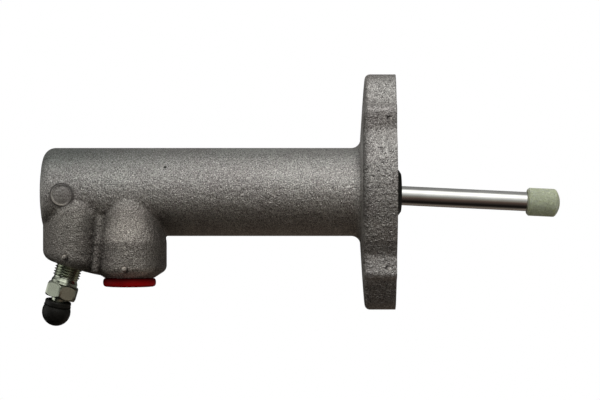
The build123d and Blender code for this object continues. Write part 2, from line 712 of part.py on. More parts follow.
def piston_spring():
    """The return spring: open coils between one closed coil at each end."""
    wire_r = SPRING_WIRE_D / 2
    start = SPRING_FRONT_X - wire_r - SPRING_END_GAP
    end = SPRING_BACK_X + wire_r + SPRING_END_GAP
    close_pitch = SPRING_WIRE_D * SPRING_CLOSED_PITCH
    open_pitch = (start - end - 2 * close_pitch) / SPRING_TURNS
    points = []
    for count in range(int((SPRING_TURNS + 2) * SPRING_STEPS) + 1):
        turn = count / SPRING_STEPS
        in_open = min(max(turn - 1, 0), SPRING_TURNS)
        x = start - (turn - in_open) * close_pitch - in_open * open_pitch
        angle = 2 * math.pi * turn
        points.append((x, SPRING_R * math.cos(angle), SPRING_R * math.sin(angle)))
    path = Polyline(*points)
    section = Plane(origin=path @ 0, z_dir=path % 0) * RegularPolygon(wire_r, SPRING_SIDES)
    return sweep(section, path=path, transition=Transition.RIGHT)


def push_rod():
    """The bright rod with its ball end, drooping as it lies in the photograph."""
    ball = Sphere(BALL_R)
    shaft = turned(
        (0, 0),
        (0, ROD_NECK_R),
        (ROD_NECK_END, ROD_NECK_R),
        (ROD_NECK_END + ROD_R - ROD_NECK_R, ROD_R),
        (ROD_END - ROD_END_CHAMFER, ROD_R),
        (ROD_END, ROD_R - ROD_END_CHAMFER),
        (ROD_END, 0),
    )
    return ROD_PLACE * (ball + shaft)


def rod_tip():
    """The nylon cap pressed on the rod's end."""
    end = TIP_START + TIP_LENGTH
    dome_r = (TIP_R**2 + TIP_DOME_H**2) / (2 * TIP_DOME_H)
    rim_x = end - TIP_DOME_H
    mid_x = end - dome_r + math.sqrt(dome_r**2 - (TIP_R / 2) ** 2)
    dome = ThreePointArc((rim_x, TIP_R), (mid_x, TIP_R / 2), (end, 0))
    rest = Polyline(
        (end, 0),
        (TIP_START, 0),
        (TIP_START, TIP_R - TIP_COLLAR_CHAMFER),
        (TIP_START + TIP_COLLAR_CHAMFER, TIP_R),
        (rim_x, TIP_R),
    )
    cap = revolve(make_face(Wire([*dome.edges(), *rest.edges()])), Axis.X)
    rim = [e for e in cap.edges() if e.geom_type == GeomType.CIRCLE and abs(e.center().X - rim_x) < 0.05]
    cap = fillet(rim, TIP_EDGE_ROUND)
    socket = turned(
        (TIP_START - 1, 0),
        (TIP_START - 1, ROD_R + TIP_FIT_GAP),
        (ROD_END + TIP_FIT_GAP, ROD_R + TIP_FIT_GAP),
        (ROD_END + TIP_FIT_GAP, 0),
    )
    return ROD_PLACE * (cap - socket)


def rod_clip():
    """The open snap ring that keeps the rod's ball in the piston."""
    ring = hollow_disc(-CLIP_T / 2, CLIP_T / 2, CLIP_INNER_R, CLIP_OUTER_R)
    half = math.radians(CLIP_OPEN_ANGLE / 2)
    reach = 2 * CLIP_OUTER_R
    left = (-reach * math.sin(half), reach * math.cos(half))
    right = (reach * math.sin(half), reach * math.cos(half))
    wedge = make_face(Plane.YZ * Polyline((0, 0), left, right, close=True))
    return Pos(BALL_X + CLIP_X_FROM_BALL, 0, 0) * (ring - Pos(-CLIP_T, 0, 0) * extrude(wedge, 2 * CLIP_T))


def dust_boot():
    """The rubber boot in the mouth of the bore, with an opening that the rod swings in."""
    sleeve_r = MOUTH_D / 2 - BOOT_FIT_GAP
    back = BOOT_BACK_GAP - MOUTH_DEPTH
    step = BOOT_WALL / 2
    face_r = BOOT_SHOULDER_R - BOOT_SHOULDER_SLOPE
    shoulder = turned(
        (back, 0),
        (back, sleeve_r),
        (-2 * step, sleeve_r),
        (-step, sleeve_r - step),
        (-step, BOOT_SHOULDER_R),
        (BOOT_SHOULDER_X, face_r),
        (BOOT_SHOULDER_X, 0),
    )
    nose = turned(
        (-BOOT_NOSE_X - step, 0),
        (-BOOT_NOSE_X - step, BOOT_NOSE_R + 1.6),
        (-BOOT_NOSE_X * 0.5, BOOT_NOSE_R + 1.25),
        (-BOOT_NOSE_X * 0.2, BOOT_NOSE_R + 0.6),
        (0, BOOT_NOSE_R + 0.2),
        (0, 0),
    )
    rim = [e for e in nose.edges() if e.geom_type == GeomType.CIRCLE and abs(e.center().X) < 0.01]
    nose = Pos(BOOT_NOSE_X, 0, 0) * Rot(0, ROD_DROOP, 0) * fillet(rim, BOOT_NOSE_ROUND)
    droop = math.radians(ROD_DROOP)
    hole_r = (BOOT_NOSE_X - BALL_X + STROKE) * math.tan(droop) + ROD_R / math.cos(droop) + BOOT_LIP_GAP
    lip_back = BOOT_NOSE_X - BOOT_LIP_BACK
    inside = turned(
        (back - 1, 0),
        (back - 1, sleeve_r - BOOT_WALL),
        (-step - BOOT_WALL, sleeve_r - BOOT_WALL),
        (-step - BOOT_WALL, BOOT_SHOULDER_R - BOOT_WALL / 2),
        (lip_back, face_r - BOOT_WALL / 2),
        (lip_back, 0),
    )
    return shoulder + nose - inside - disc(lip_back - 1, BOOT_NOSE_X + 1, hole_r)


PARTS = {
    "cylinder_body": cylinder_body,
    "bleed_screw": bleed_screw,
    "bleed_cap": bleed_cap,
    "port_plug": port_plug,
    "stop_washer": stop_washer,
    "retaining_ring": retaining_ring,
    "dust_boot": dust_boot,
    "piston": piston,
    "guide_ring": lambda: ring_in_groove(GUIDE_SETBACK, GUIDE_W, GUIDE_DEPTH, False),
    "rear_seal": lambda: ring_in_groove(REAR_SEAL_SETBACK, REAR_SEAL_W, REAR_SEAL_DEPTH, True),
    "primary_cup": primary_cup,
    "spring_seat": spring_seat,
    "rod_clip": rod_clip,
    "piston_spring": piston_spring,
    "push_rod": push_rod,
    "rod_tip": rod_tip,
}


if __name__ == "__main__":
    os.makedirs("parts", exist_ok=True)
    for name, make in PARTS.items():
        piece = make()
        if isinstance(piece, (list, ShapeList)):
            piece = Compound(children=list(piece))
        export_step(piece, f"parts/{name}.step")
        size = piece.bounding_box()
        print(name, piece.is_valid, len(piece.solids()), size.min, size.max)
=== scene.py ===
"""Looks of the clutch slave cylinder around its packed CAD frame, and the stage it is shown on."""

import json
import math
from functools import partial, partialmethod

import bmesh
import bpy
from bpy.props import FloatProperty, FloatVectorProperty, IntProperty, PointerProperty
from mathutils import Matrix, Vector


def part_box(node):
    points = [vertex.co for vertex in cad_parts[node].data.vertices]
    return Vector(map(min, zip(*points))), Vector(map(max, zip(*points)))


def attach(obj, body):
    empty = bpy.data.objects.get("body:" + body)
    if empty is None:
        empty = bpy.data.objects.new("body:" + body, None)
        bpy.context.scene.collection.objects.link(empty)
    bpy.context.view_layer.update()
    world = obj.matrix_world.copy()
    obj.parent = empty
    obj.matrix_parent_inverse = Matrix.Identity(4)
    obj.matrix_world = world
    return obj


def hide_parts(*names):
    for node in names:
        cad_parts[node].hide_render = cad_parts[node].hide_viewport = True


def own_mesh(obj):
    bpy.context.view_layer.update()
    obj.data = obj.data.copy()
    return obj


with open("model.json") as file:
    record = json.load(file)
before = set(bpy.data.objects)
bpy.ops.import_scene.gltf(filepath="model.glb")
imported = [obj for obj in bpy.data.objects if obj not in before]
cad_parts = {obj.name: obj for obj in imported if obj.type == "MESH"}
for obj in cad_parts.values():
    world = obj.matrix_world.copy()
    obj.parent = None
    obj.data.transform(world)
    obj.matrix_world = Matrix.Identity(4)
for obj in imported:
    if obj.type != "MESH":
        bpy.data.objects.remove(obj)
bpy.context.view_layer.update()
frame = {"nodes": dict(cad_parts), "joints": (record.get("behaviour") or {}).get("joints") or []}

bl_info = {
    "name": "Clutch slave cylinder",
    "version": (1, 0, 0),
    "blender": (4, 5, 0),
    "location": "3D View > Sidebar > Slave cylinder",
    "description": "Dresses a clutch slave cylinder: casting, screw, plug, rod, rubber and spring",
    "category": "Object",
}

MM = 0.001
ROUND = 2 * math.pi
JOINTS = {joint["name"]: joint for joint in frame["joints"]}


def axis_place(axis, origin):
    """The place of a piece turned about `axis`: local X runs along it and local Y stays level."""
    along = Vector(axis).normalized()
    level = Vector((0, 1, 0))
    side = along.cross(level).normalized()
    place = Matrix((along, level, side)).transposed().to_4x4()
    place.translation = Vector(origin)
    return place


SCREW_PLACE = axis_place(JOINTS["bleed_turn"]["axis"], JOINTS["bleed_turn"]["pos_m"])
BALL_CENTRE = Vector(JOINTS["rod_swing"]["pos_m"])
ROD_DROOP = math.radians(2.74)
ROD_PLACE = Matrix.Translation(BALL_CENTRE) @ Matrix.Rotation(ROD_DROOP, 4, "Y")
PORT_MOUTH = (-0.099, -0.0072, -0.0318)
PLUG_PLACE = axis_place((0, 0, -1), PORT_MOUTH)
SPRING_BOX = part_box("piston_spring")

# The casting's small marks, seen from the side, in millimetres: places along and up, and radii.
# A pip's last number is how far its shadow is shifted.
PIPS = (
    (-99.8, -28.3, 1.0, 0.5),
    (-122.1, -24.0, 1.0, 0.5),
    (-2.6, 26.8, 0.8, -0.5),
    (-3.0, -28.3, 0.9, -0.5),
)
PAD = (-123.15, -1.2, 4.0)
# How far from its line each of their edges, painted shadows and painted highlights is full and
# ends, and how strong.
MARK_EDGE = (0.25, 0.55)
PAD_CREASE_SHADOW = (0.1, 0.35, 0.7)
PAD_GLEAM = (0.1, 0.35)
PIP_SHADOW_STRENGTH = 0.9
# They show only past this place, on the front side.
MARKS_FRONT = -5
# One pore in the skin, painted as a dark spot for the shade in its hole: its place, where it is
# full and ends, its strength there, its colour.
PORE = (-85.4, -13.76, 9.1)
PORE_REACH = (0.35, 0.6, 0.95, 0.0)
PORE_BLACK = (0.005, 0.005, 0.005)
# Where the machined bore ends, how far the barrel reaches from its axis, and the turning marks.
BORE_END = -128
BARREL_REACH = 18
RING_PITCH = 0.25 * MM
RING_DEPTH = 0.004 * MM
# The thin web between the two ports: its middle line at the axis, its lean, how far its root
# reaches beside that line, and how soft it looks there.
WEB_X = -108.4
WEB_SLOPE = math.tan(math.radians(5))
WEB_ROOT = (2.5, 3.5, 1.0, 0.0)
WEB_SOFT = 2.2 * MM
# How strong the painted shade is beside the web's middle line, left to right, in millimetres.
WEB_SHADE = (
    (-9.0, 0.0), (-6.5, 0.33), (-3.7, 0.62), (-2.2, 0.85), (-1.0, 0.5),
    (-0.2, 0.25), (0.8, 0.4), (2.0, 0.65), (3.7, 0.3), (6.5, 0.0),
)
# How strong the painted shade on the flange's edge is at a height, top to bottom, in millimetres.
FLANGE_SHADE = (
    (44, 0.57), (41, 0.1), (37, 0.0), (32, 0.25), (30.7, 0.0), (29.5, 0.0), (28, 0.42),
    (25, 0.45), (21, 0.1), (15, 0.0), (8, 0.3), (1, 0.45), (-7, 0.7), (-18, 0.67),
    (-23, 0.4), (-27, 0.0), (-31, 0.0), (-35, 0.85), (-43, 0.83),
)
# Where each patch of the casting's light and shade starts and is full along an axis, in
# millimetres, and its strength at both, if not 0 and 1.
PATCHES = {
    "flange": ("X", -14, -11),
    "underside": ("Z", 4, -8, 0.0, 0.57),
    "closed_end": ("X", -20, -125, 0.0, 0.78),
    "upper_half": ("Z", -2, 13, 0.3, 1.0),
    "top": ("Z", 6, 13.5, 0.0, 0.50),
    "near_side": ("Y", 0, -5),
    "below_barrel": ("Z", -4, -10),
    "flank_left": ("X", -93.5, -87, 0.0, 0.6),
    "flank_right": ("X", -87, -76, 1.0, 0.0),
    "end_edge": ("X", -123.5, -127.5, 0.0, 0.35),
    "port_front": ("Y", -16, -17.5),
    "port_side": ("X", -109, -107),
    "port_foot": ("Z", -27, -29.5),
    "cone_bottom": ("Z", -18.7, -17.9),
    "cone_top": ("Z", -9, -12),
    "rim_left": ("X", -14, -13.1),
    "rim_right": ("X", -12.1, -10.2, 1.0, 0.0),
    "rim_height": ("Z", -20, 0, 0.35, 1.0),
}
# How squarely the flange's rim faces the front, where its shade starts and is full.
FACING_FRONT = (-0.05, -0.4)
# What each painted shade, or painted light at the port's foot and cone, multiplies the metal's
# colour by where it is full.
PAINTED_LIGHT_AND_SHADE = {
    "underside": (0.47, 0.42, 0.36),
    "upper": (0.41, 0.44, 0.43),
    "flange": (0.44, 0.42, 0.40),
    "hollows": (0.18, 0.17, 0.16),
    "port_foot": (2.0, 2.0, 2.0),
    "port_cone": (1.28, 1.28, 1.28),
    "flange_rim": (0.42, 0.42, 0.41),
}

# The light tent's glow by its angle, from behind, under the object to the front at 0, and over
# the top to behind: degrees, level and colour. A ramp's stops hold up to 1, so a peak scales them.
PALE = (1.0, 1.0, 0.97)
CREAM = (1.0, 0.97, 0.84)
HONEY = (1.0, 0.83, 0.69)
AMBER = (1.0, 0.70, 0.57)
TENT_PEAK = 2.4
TENT = (
    (-175, 0.03, HONEY), (-160, 0.06, HONEY), (-143, 0.15, HONEY), (-122, 0.33, HONEY),
    (-104, 0.16, HONEY), (-88, 0.03, HONEY), (-75, 0.01, HONEY), (-62, 0.02, HONEY),
    (-50, 0.045, HONEY), (-38, 0.09, AMBER), (-25, 0.14, AMBER), (-13, 0.25, HONEY),
    (0, 0.37, CREAM), (11, 0.60, PALE), (23, 1.00, PALE), (35, 1.6, PALE), (48, 2.3, PALE),
    (61, 2.38, PALE), (76, 1.35, PALE), (90, 0.40, PALE), (140, 0.30, PALE), (162, 0.15, PALE),
    (175, 0.03, PALE),
)
# Its glow from left to right, in metres, in its low, middle and high bands of angle.
TENT_ACROSS = (-0.9, -0.6, -0.4, -0.2, 0.0, 0.2, 0.4, 0.6, 0.85)
TENT_BANDS = (
    (0.0, 0.0, 0.0, 0.1, 0.72, 1.10, 0.3, 0.0, 0.0),
    (0.0, 0.0, 0.62, 0.50, 0.75, 1.07, 0.3, 0.0, 0.0),
    (0.0, 0.39, 0.77, 0.40, 0.77, 1.09, 0.3, 0.0, 0.0),
)
BAND_PEAK = 3.0
LOW_BAND = (math.radians(-20), math.radians(10), 1.0, 0.0)
HIGH_BAND = (math.radians(30), math.radians(60))
TENT_RADIUS = 0.95
# Where its ends, its darker back and its right-hand card start and are full, in metres.
LEFT_END = (-0.80, -0.93)
LEFT_GLOW = 1.06
RIGHT_END = (0.84, 0.93, 1.0, 0.06)
BACK = (0.05, -0.15)
BACK_RIGHT = (0.25, 0.4, 0.0, 0.85)
RIGHT_CARD = (0.12, 0.17, 0.0, 0.12)


def a_length(name, about, default):
    """A length that a user may change."""
    return FloatProperty(
        name=name, description=about, subtype="DISTANCE", unit="LENGTH", default=default
    )


def an_angle(name, about, degrees):
    """An angle that a user may change."""
    default = math.radians(degrees)
    return FloatProperty(
        name=name, description=about, subtype="ANGLE", unit="ROTATION", default=default
    )


def a_colour(name, about, *default):
    """A colour that a user may change."""
    return FloatVectorProperty(
        name=name, description=about, subtype="COLOR", size=3, default=default
    )


class CastingSettings(bpy.types.PropertyGroup):
    """Sizes and colours of the cast body's skin."""

    colour: a_colour("Metal colour", "Colour of the bare cast metal", 0.61, 0.598, 0.582)
    stain: a_colour("Stain colour", "Colour of the faint stains on the casting", 0.50, 0.47, 0.465)
    machined: a_colour("Machined colour", "Colour of the faces cut after casting", 0.62, 0.61, 0.59)
    grain: a_length("Grain size", "Width of the sand-like grain", 0.45 * MM)
    grain_depth: a_length("Grain depth", "Height of the sand-like grain", 0.225 * MM)
    soft: a_length("Edge softness", "Radius that the raw edges look rounded by", 0.9 * MM)
    bore: a_length("Bore radius", "Radius within which the body is machined", 12.35 * MM)


class ScrewSettings(bpy.types.PropertyGroup):
    """Sizes and colour of the bleed screw."""

    thread: a_length("Thread radius", "Radius at the crests", 5.0 * MM)
    pitch: a_length("Pitch", "Length of one thread", 1.0 * MM)
    depth: a_length("Thread depth", "Crest to root", 0.6 * MM)
    flats: a_length("Across flats", "Width of the hexagon", 11.0 * MM)
    colour: a_colour("Plating colour", "Colour of the zinc plating", 0.54, 0.58, 0.47)
    segments: IntProperty(
        name="Segments", description="Faces around the screw", default=96, min=24, max=192
    )


class RubberSettings(bpy.types.PropertyGroup):
    """Sizes and colour of the rubber cap and boot."""

    colour: a_colour("Rubber colour", "Colour of the black rubber", 0.005, 0.005, 0.004)
    ball: a_length("Ball radius", "Radius of the cap's round end", 5.32 * MM)
    lip: a_length("Lip radius", "Radius of the cap's lip", 4.88 * MM)
    sag: an_angle("Sag", "How far the cap hangs off the screw's axis", 4.5)
    turn: an_angle("Turn", "How far the cap's open side leans towards the front", 7.5)


class PlugSettings(bpy.types.PropertyGroup):
    """Sizes and colour of the transport plug."""

    colour: a_colour("Plug colour", "Colour of the plastic", 0.28, 0.002, 0.003)
    head: a_length("Head radius", "Radius of the head", 9.8 * MM)
    thickness: a_length("Head thickness", "Thickness of the head", 3.25 * MM)


class RodSettings(bpy.types.PropertyGroup):
    """Sizes and colours of the push rod and its tip."""

    steel: a_colour("Steel colour", "Colour of the polished rod", 0.53, 0.53, 0.52)
    nylon: a_colour("Nylon colour", "Colour of the tip", 0.40, 0.44, 0.335)
    radius: a_length("Rod radius", "Radius of the rod", 3.6 * MM)
    tip: a_length("Tip radius", "Radius of the tip", 5.25 * MM)
    reach: a_length("Rod length", "Ball centre to end", 84.6 * MM)


class SpringSettings(bpy.types.PropertyGroup):
    """Sizes and colour of the return spring."""

    coil: a_length("Coil radius", "Axis to the wire's middle", 8.3 * MM)
    wire: a_length("Wire radius", "Radius of the wire", 0.8 * MM)
    turns: FloatProperty(
        name="Open turns", description="Turns between the closed ends", default=8.5
    )
    colour: a_colour("Wire colour", "Colour of the spring steel", 0.34, 0.34, 0.35)


class StageSettings(bpy.types.PropertyGroup):
    """Camera, lamp, light tent and floor."""

    distance: a_length("Camera distance", "Camera to the bore's axis", 0.75)
    lens: FloatProperty(
        name="Lens",
        description="Focal length",
        subtype="DISTANCE_CAMERA",
        unit="CAMERA",
        default=120.0,
    )
    key: FloatProperty(
        name="Key power", description="Power of the soft key lamp", unit="POWER", default=4.4
    )
    tent: FloatProperty(
        name="Tent strength", description="Brightness of the light tent's reflection", default=1.25
    )
    floor: a_length("Floor height", "Height of the floor", -0.16)


GROUPS = {
    "slave_casting": CastingSettings,
    "slave_screw": ScrewSettings,
    "slave_rubber": RubberSettings,
    "slave_plug": PlugSettings,
    "slave_rod": RodSettings,
    "slave_spring": SpringSettings,
    "slave_stage": StageSettings,
}


def rgba(colour, gain=1.0):
    """A colour with its alpha, brightened by `gain`."""
    return (*(channel * gain for channel in colour), 1.0)


class Nodes:
    """A short way to write a node tree."""

    def __init__(self, tree):
        self.tree = tree

    def node(self, kind, links=(), **values):
        """Adds a node, a shader's unless named in full, and gives it its attributes and inputs."""
        made = self.tree.nodes.new(kind if "Node" in kind else "ShaderNode" + kind)
        for key, value in values.items():
            setattr(made, key, value)
        for socket, source in dict(links).items():
            self.give(made.inputs[socket], source)
        return made

    def first(self, kind, links=(), **values):
        """The first output of a new node."""
        return self.node(kind, links, **values).outputs[0]

    def give(self, socket, source):
        """Links a node's output to a socket, or writes a plain value there."""
        if isinstance(source, bpy.types.NodeSocket):
            self.tree.links.new(source, socket)
        else:
            socket.default_value = source

    def math(self, operation, *sources):
        """A maths node over one to three sources."""
        return self.first("Math", enumerate(sources), operation=operation)

    def chain(self, operation, first, *others):
        """Joins sources by one operation, from left to right."""
        for other in others:
            first = self.math(operation, first, other)
        return first

    times = partialmethod(chain, "MULTIPLY")
    plus = partialmethod(chain, "ADD")
    less = partialmethod(chain, "SUBTRACT")
    most = partialmethod(chain, "MAXIMUM")


class Shader(Nodes):
    """A short way to write one material's nodes."""

    def __init__(self, name, roughness=0.5, metallic=0.0):
        self.material = bpy.data.materials.new(name)
        self.material.use_nodes = True
        super().__init__(self.material.node_tree)
        self.surface = self.tree.nodes["Principled BSDF"]
        self.set("Roughness", roughness)
        self.set("Metallic", metallic)
        self.place = self.node("TexCoord").outputs["Object"]

    def set(self, socket, source):
        """Gives a source or a plain value to one of the surface's sockets."""
        self.give(self.surface.inputs[socket], source)

    def noise(self, size, detail=2.0, roughness=0.5, stretch=None):
        """Noise whose lumps are about `size` metres wide, from 0 to 1."""
        place = self.place
        if stretch:
            place = self.first("Mapping", {"Vector": place, "Scale": stretch})
        links = {"Vector": place, "Scale": 1.0 / size, "Detail": detail, "Roughness": roughness}
        return self.first("TexNoise", links)

    def spread(self, source, low, high, start=0.0, end=1.0):
        """Maps a factor from low..high to start..end, clamped."""
        links = {"Value": source, "From Min": low, "From Max": high, "To Min": start, "To Max": end}
        return self.first("MapRange", links)

    def fade(self, source, low, high, start=0.0, end=1.0):
        """The same, with low and high in millimetres."""
        return self.spread(source, low * MM, high * MM, start, end)

    def ramp(self, source, reach, stops):
        """A colour ramp over -reach..reach, with stops of (place, colour)."""
        made = self.node("ValToRGB", {"Fac": self.spread(source, -reach, reach)})
        elements = made.color_ramp.elements
        for place, colour in stops:
            elements.new((place + reach) / (2 * reach)).color = colour
        for spare in (0, -1):
            elements.remove(elements[spare])
        return made.outputs["Color"]

    def greys(self, source, reach, stops, unit=1.0, gain=1.0):
        """A ramp of greys over -reach..reach, with stops of (place, level)."""
        greys = [(place * unit, rgba((level,) * 3, gain)) for place, level in stops]
        return self.ramp(source, reach * unit, greys)

    def distance(self, place, *point):
        """How far a place is from a point given in millimetres."""
        point = [axis * MM for axis in point]
        made = self.node("VectorMath", {0: place, 1: point}, operation="DISTANCE")
        return made.outputs["Value"]

    def blend(self, factor, first, second, blend_type="MIX"):
        """Mixes two colours by a factor."""
        links = {"Factor": factor, "A": first, "B": second}
        return self.node("Mix", links, data_type="RGBA", blend_type=blend_type).outputs["Result"]

    def relief(self, *layers, start=None):
        """Stacks bump layers of (height, depth) over the surface's own normal or a given one."""
        normal = start
        for height, depth in layers:
            links = {"Height": height, "Distance": depth, "Strength": 1.0}
            if normal:
                links["Normal"] = normal
            normal = self.first("Bump", links)
        self.set("Normal", normal)


class CastSkin(Shader):
    """Bare cast metal: sand grain, specks, soft lumps and stains, with brighter machined faces and
    painted light and shade.
    """

    def __init__(self, settings):
        super().__init__("cast_metal", roughness=0.6, metallic=0.95)
        self.settings = settings
        self.axes = self.node("SeparateXYZ", {"Vector": self.place}).outputs
        self.along, self.across, self.height = (self.axes[axis] for axis in "XYZ")
        self.side_on = self.first("CombineXYZ", {"X": self.along, "Z": self.height})
        end_on = self.first("CombineXYZ", {"Y": self.across, "Z": self.height})
        self.radius = self.node("VectorMath", {0: end_on}, operation="LENGTH").outputs["Value"]
        self.normal = self.node("NewGeometry").outputs["Normal"]

    def patch(self, *names):
        """Where all of some patches lie, as their product."""
        reaches = [PATCHES[name] for name in names]
        return self.times(*(self.fade(self.axes[axis], *reach) for axis, *reach in reaches))

    def machined(self):
        """One on the faces that are cut after casting: the bore and the mounting face."""
        in_bore = self.math("LESS_THAN", self.radius, self.settings.bore)
        in_barrel = self.math("GREATER_THAN", self.along, BORE_END * MM)
        on_face = self.math("GREATER_THAN", self.along, -0.01 * MM)
        return self.most(self.times(in_bore, in_barrel), on_face)

    def near_ring(self, x, z, radius, full, none, strength=1.0):
        """Full near a circle seen from the side and nothing further off, in millimetres."""
        off = self.less(self.distance(self.side_on, x, 0, z), radius * MM)
        return self.fade(self.math("ABSOLUTE", off), full, none, strength, 0.0)

    def marks(self):
        """The edges, painted shadows and painted highlights of the pad's ring and the pips, and the
        pad's inside.
        """
        x, z, radius = PAD
        edges = self.near_ring(x, z, radius, *MARK_EDGE)
        # A painted shadow beside the pad's ring, and a painted highlight inside it on the lower
        # left.
        crease_shadows = self.near_ring(x - 0.15, z, radius + 0.1, *PAD_CREASE_SHADOW)
        low_left = self.fade(self.plus(self.along, self.height), x + z, x + z - 4.0)
        gleams = self.times(self.near_ring(x, z, radius - 0.35, *PAD_GLEAM), low_left)
        inside = self.fade(self.distance(self.side_on, x, 0, z), radius - 0.8, radius, 0.5, 0.0)
        # Each pip gets a painted highlight on its raised side and a painted shadow shifted by its
        # lean.
        for x, z, radius, lean in PIPS:
            gap = self.distance(self.side_on, x, 0, z)
            behind = self.distance(self.side_on, x + lean, 0, z - lean)
            raised = self.fade(gap, radius - 0.3, radius + 0.1, 1.0, 0.0)
            shadow = self.fade(behind, radius - 0.2, radius + 0.2, 1.0, 0.0)
            pip_shadow = self.times(self.less(shadow, raised), PIP_SHADOW_STRENGTH)
            edges = self.most(edges, self.fade(gap, radius + 0.1, radius + 0.4, 1.0, 0.0))
            crease_shadows = self.most(crease_shadows, pip_shadow)
            gleams = self.most(gleams, self.less(raised, shadow))
        front = self.math("LESS_THAN", self.across, MARKS_FRONT * MM)
        return [self.times(mark, front) for mark in (edges, crease_shadows, gleams, inside)]

    def shades(self, on_flange, from_web, facing):
        """Where each tint of the casting's light and shade lies, by the tint's name."""
        in_barrel = self.math("LESS_THAN", self.radius, BARREL_REACH * MM)
        end = self.patch("closed_end", "upper_half")
        top = self.times(self.patch("top"), in_barrel)
        hollow = self.greys(from_web, 10, WEB_SHADE, MM)
        beside = (self.patch("flank_left", "flank_right"), self.patch("end_edge"))
        turned = self.node("SeparateXYZ", {"Vector": self.normal}).outputs["Y"]
        turned = self.spread(turned, *FACING_FRONT)
        # Painted shade, but painted light at the port's foot and cone.
        return {
            "underside": self.times(self.patch("underside"), self.less(1.0, on_flange)),
            "upper": self.plus(self.most(end, top), self.times(end, top, 0.7)),
            "flange": self.times(self.greys(self.height, 50, FLANGE_SHADE, MM), on_flange),
            "hollows": self.times(self.most(hollow, *beside), facing),
            "port_foot": self.patch("port_foot", "port_front", "port_side"),
            "port_cone": self.patch("cone_bottom", "cone_top", "port_front", "port_side"),
            "flange_rim": self.times(self.patch("rim_left", "rim_right", "rim_height"), turned),
        }

    def skin(self, rough, crease_shadows, gleams):
        """The raw metal's colour: stains and specks, with the marks' painted shadows and
        highlights.
        """
        metal, stain = self.settings.colour, self.settings.stain
        stains = self.noise(14 * MM, 3.0, roughness=0.6)
        specks = self.noise(0.8 * self.settings.grain, 1.0)
        body = self.blend(self.spread(stains, 0.35, 0.7), rgba(metal), rgba(stain))
        dark_specks = self.times(self.spread(specks, 0.51, 0.69, 0.0, 0.85), rough)
        bright_specks = self.times(self.spread(specks, 0.46, 0.29, 0.0, 0.9), rough)
        body = self.blend(dark_specks, body, rgba(stain, 0.27))
        body = self.blend(bright_specks, body, rgba(metal, 1.75))
        # The marks' painted shadows, in a darkened stain colour, and their painted highlights.
        body = self.blend(crease_shadows, body, rgba(stain, 0.2))
        return self.blend(self.times(gleams, 0.75), body, rgba(metal, 2.1))

    def write(self):
        """Joins the casting's colour, gloss and relief into its material."""
        grain_depth = self.settings.grain_depth
        cut = self.machined()
        edges, crease_shadows, gleams, in_pad = self.marks()
        even = self.times(self.spread(edges, 0.0, 1.0, 1.0, 0.2), self.less(1.0, in_pad))
        rough = self.times(self.less(1.0, cut), even)
        past_barrel = self.math("GREATER_THAN", self.radius, BARREL_REACH * MM)
        on_flange = self.times(self.patch("flange"), past_barrel)
        lean = self.times(self.height, WEB_SLOPE)
        from_web = self.plus(self.less(self.along, lean), -WEB_X * MM)
        facing = self.patch("near_side", "below_barrel")
        at_root = self.fade(self.math("ABSOLUTE", from_web), *WEB_ROOT)
        near_web = self.times(at_root, facing)

        body = self.skin(rough, crease_shadows, gleams)
        # Painted light and shade multiply the metal's colour where they lie.
        for name, factor in self.shades(on_flange, from_web, facing).items():
            body = self.blend(factor, body, rgba(PAINTED_LIGHT_AND_SHADE[name]), "MULTIPLY")
        # The pore's painted shade: a near-black spot.
        pore = self.fade(self.distance(self.place, *PORE), *PORE_REACH)
        body = self.blend(pore, body, rgba(PORE_BLACK))
        self.set("Base Color", self.blend(cut, body, rgba(self.settings.machined)))

        grain = self.noise(self.settings.grain, 2.0, roughness=0.6)
        lumps = self.noise(4 * self.settings.grain, 3.0)
        blisters = self.spread(self.noise(1.3 * MM, 2.0), 0.5, 0.75)
        rings = self.math("SINE", self.times(self.radius, ROUND / RING_PITCH))
        uneven = self.times(rough, self.most(on_flange, near_web))
        raw_gloss = self.spread(lumps, 0.3, 0.7, 0.56, 0.64)
        self.set("Roughness", self.less(raw_gloss, self.times(cut, 0.26)))
        softness = self.spread(near_web, 0.0, 1.0, self.settings.soft, WEB_SOFT)
        soft = self.node("Bevel", {"Radius": softness}, samples=6)
        self.relief(
            (self.times(blisters, uneven), 2 * grain_depth),
            (self.times(lumps, rough), 2 * grain_depth),
            (self.times(grain, rough), grain_depth),
            (self.times(rings, cut), RING_DEPTH),
            start=self.blend(edges, soft.outputs["Normal"], self.normal),
        )
        return self.material


def steel(name, colour, roughness, grain=0.6 * MM, stretch=(1, 1, 1), depth=0.003 * MM):
    """Plain metal with fine marks, stretched along their length by small scale values."""
    s = Shader(name, roughness, metallic=1.0)
    marks = s.noise(grain, 3.0, roughness=0.6, stretch=stretch)
    cloud = s.noise(7 * MM, 2.0)
    s.set("Base Color", s.blend(s.spread(cloud, 0.35, 0.7), rgba(colour), rgba(colour, 0.86)))
    s.set("Roughness", s.spread(marks, 0.3, 0.7, 0.8 * roughness, 1.25 * roughness))
    s.relief((marks, depth))
    return s.material


def rubber(colour):
    """Matt black rubber with a faint bloom."""
    s = Shader("black_rubber", 0.6)
    s.set("Specular IOR Level", 0.3)
    bloom = s.noise(2.2 * MM, 4.0, roughness=0.65)
    grain = s.noise(0.35 * MM, 2.0)
    s.set("Base Color", s.blend(s.spread(bloom, 0.45, 0.75), rgba(colour), rgba(colour, 2.2)))
    s.set("Roughness", s.spread(bloom, 0.3, 0.7, 0.46, 0.64))
    s.relief((grain, 0.02 * MM))
    return s.material


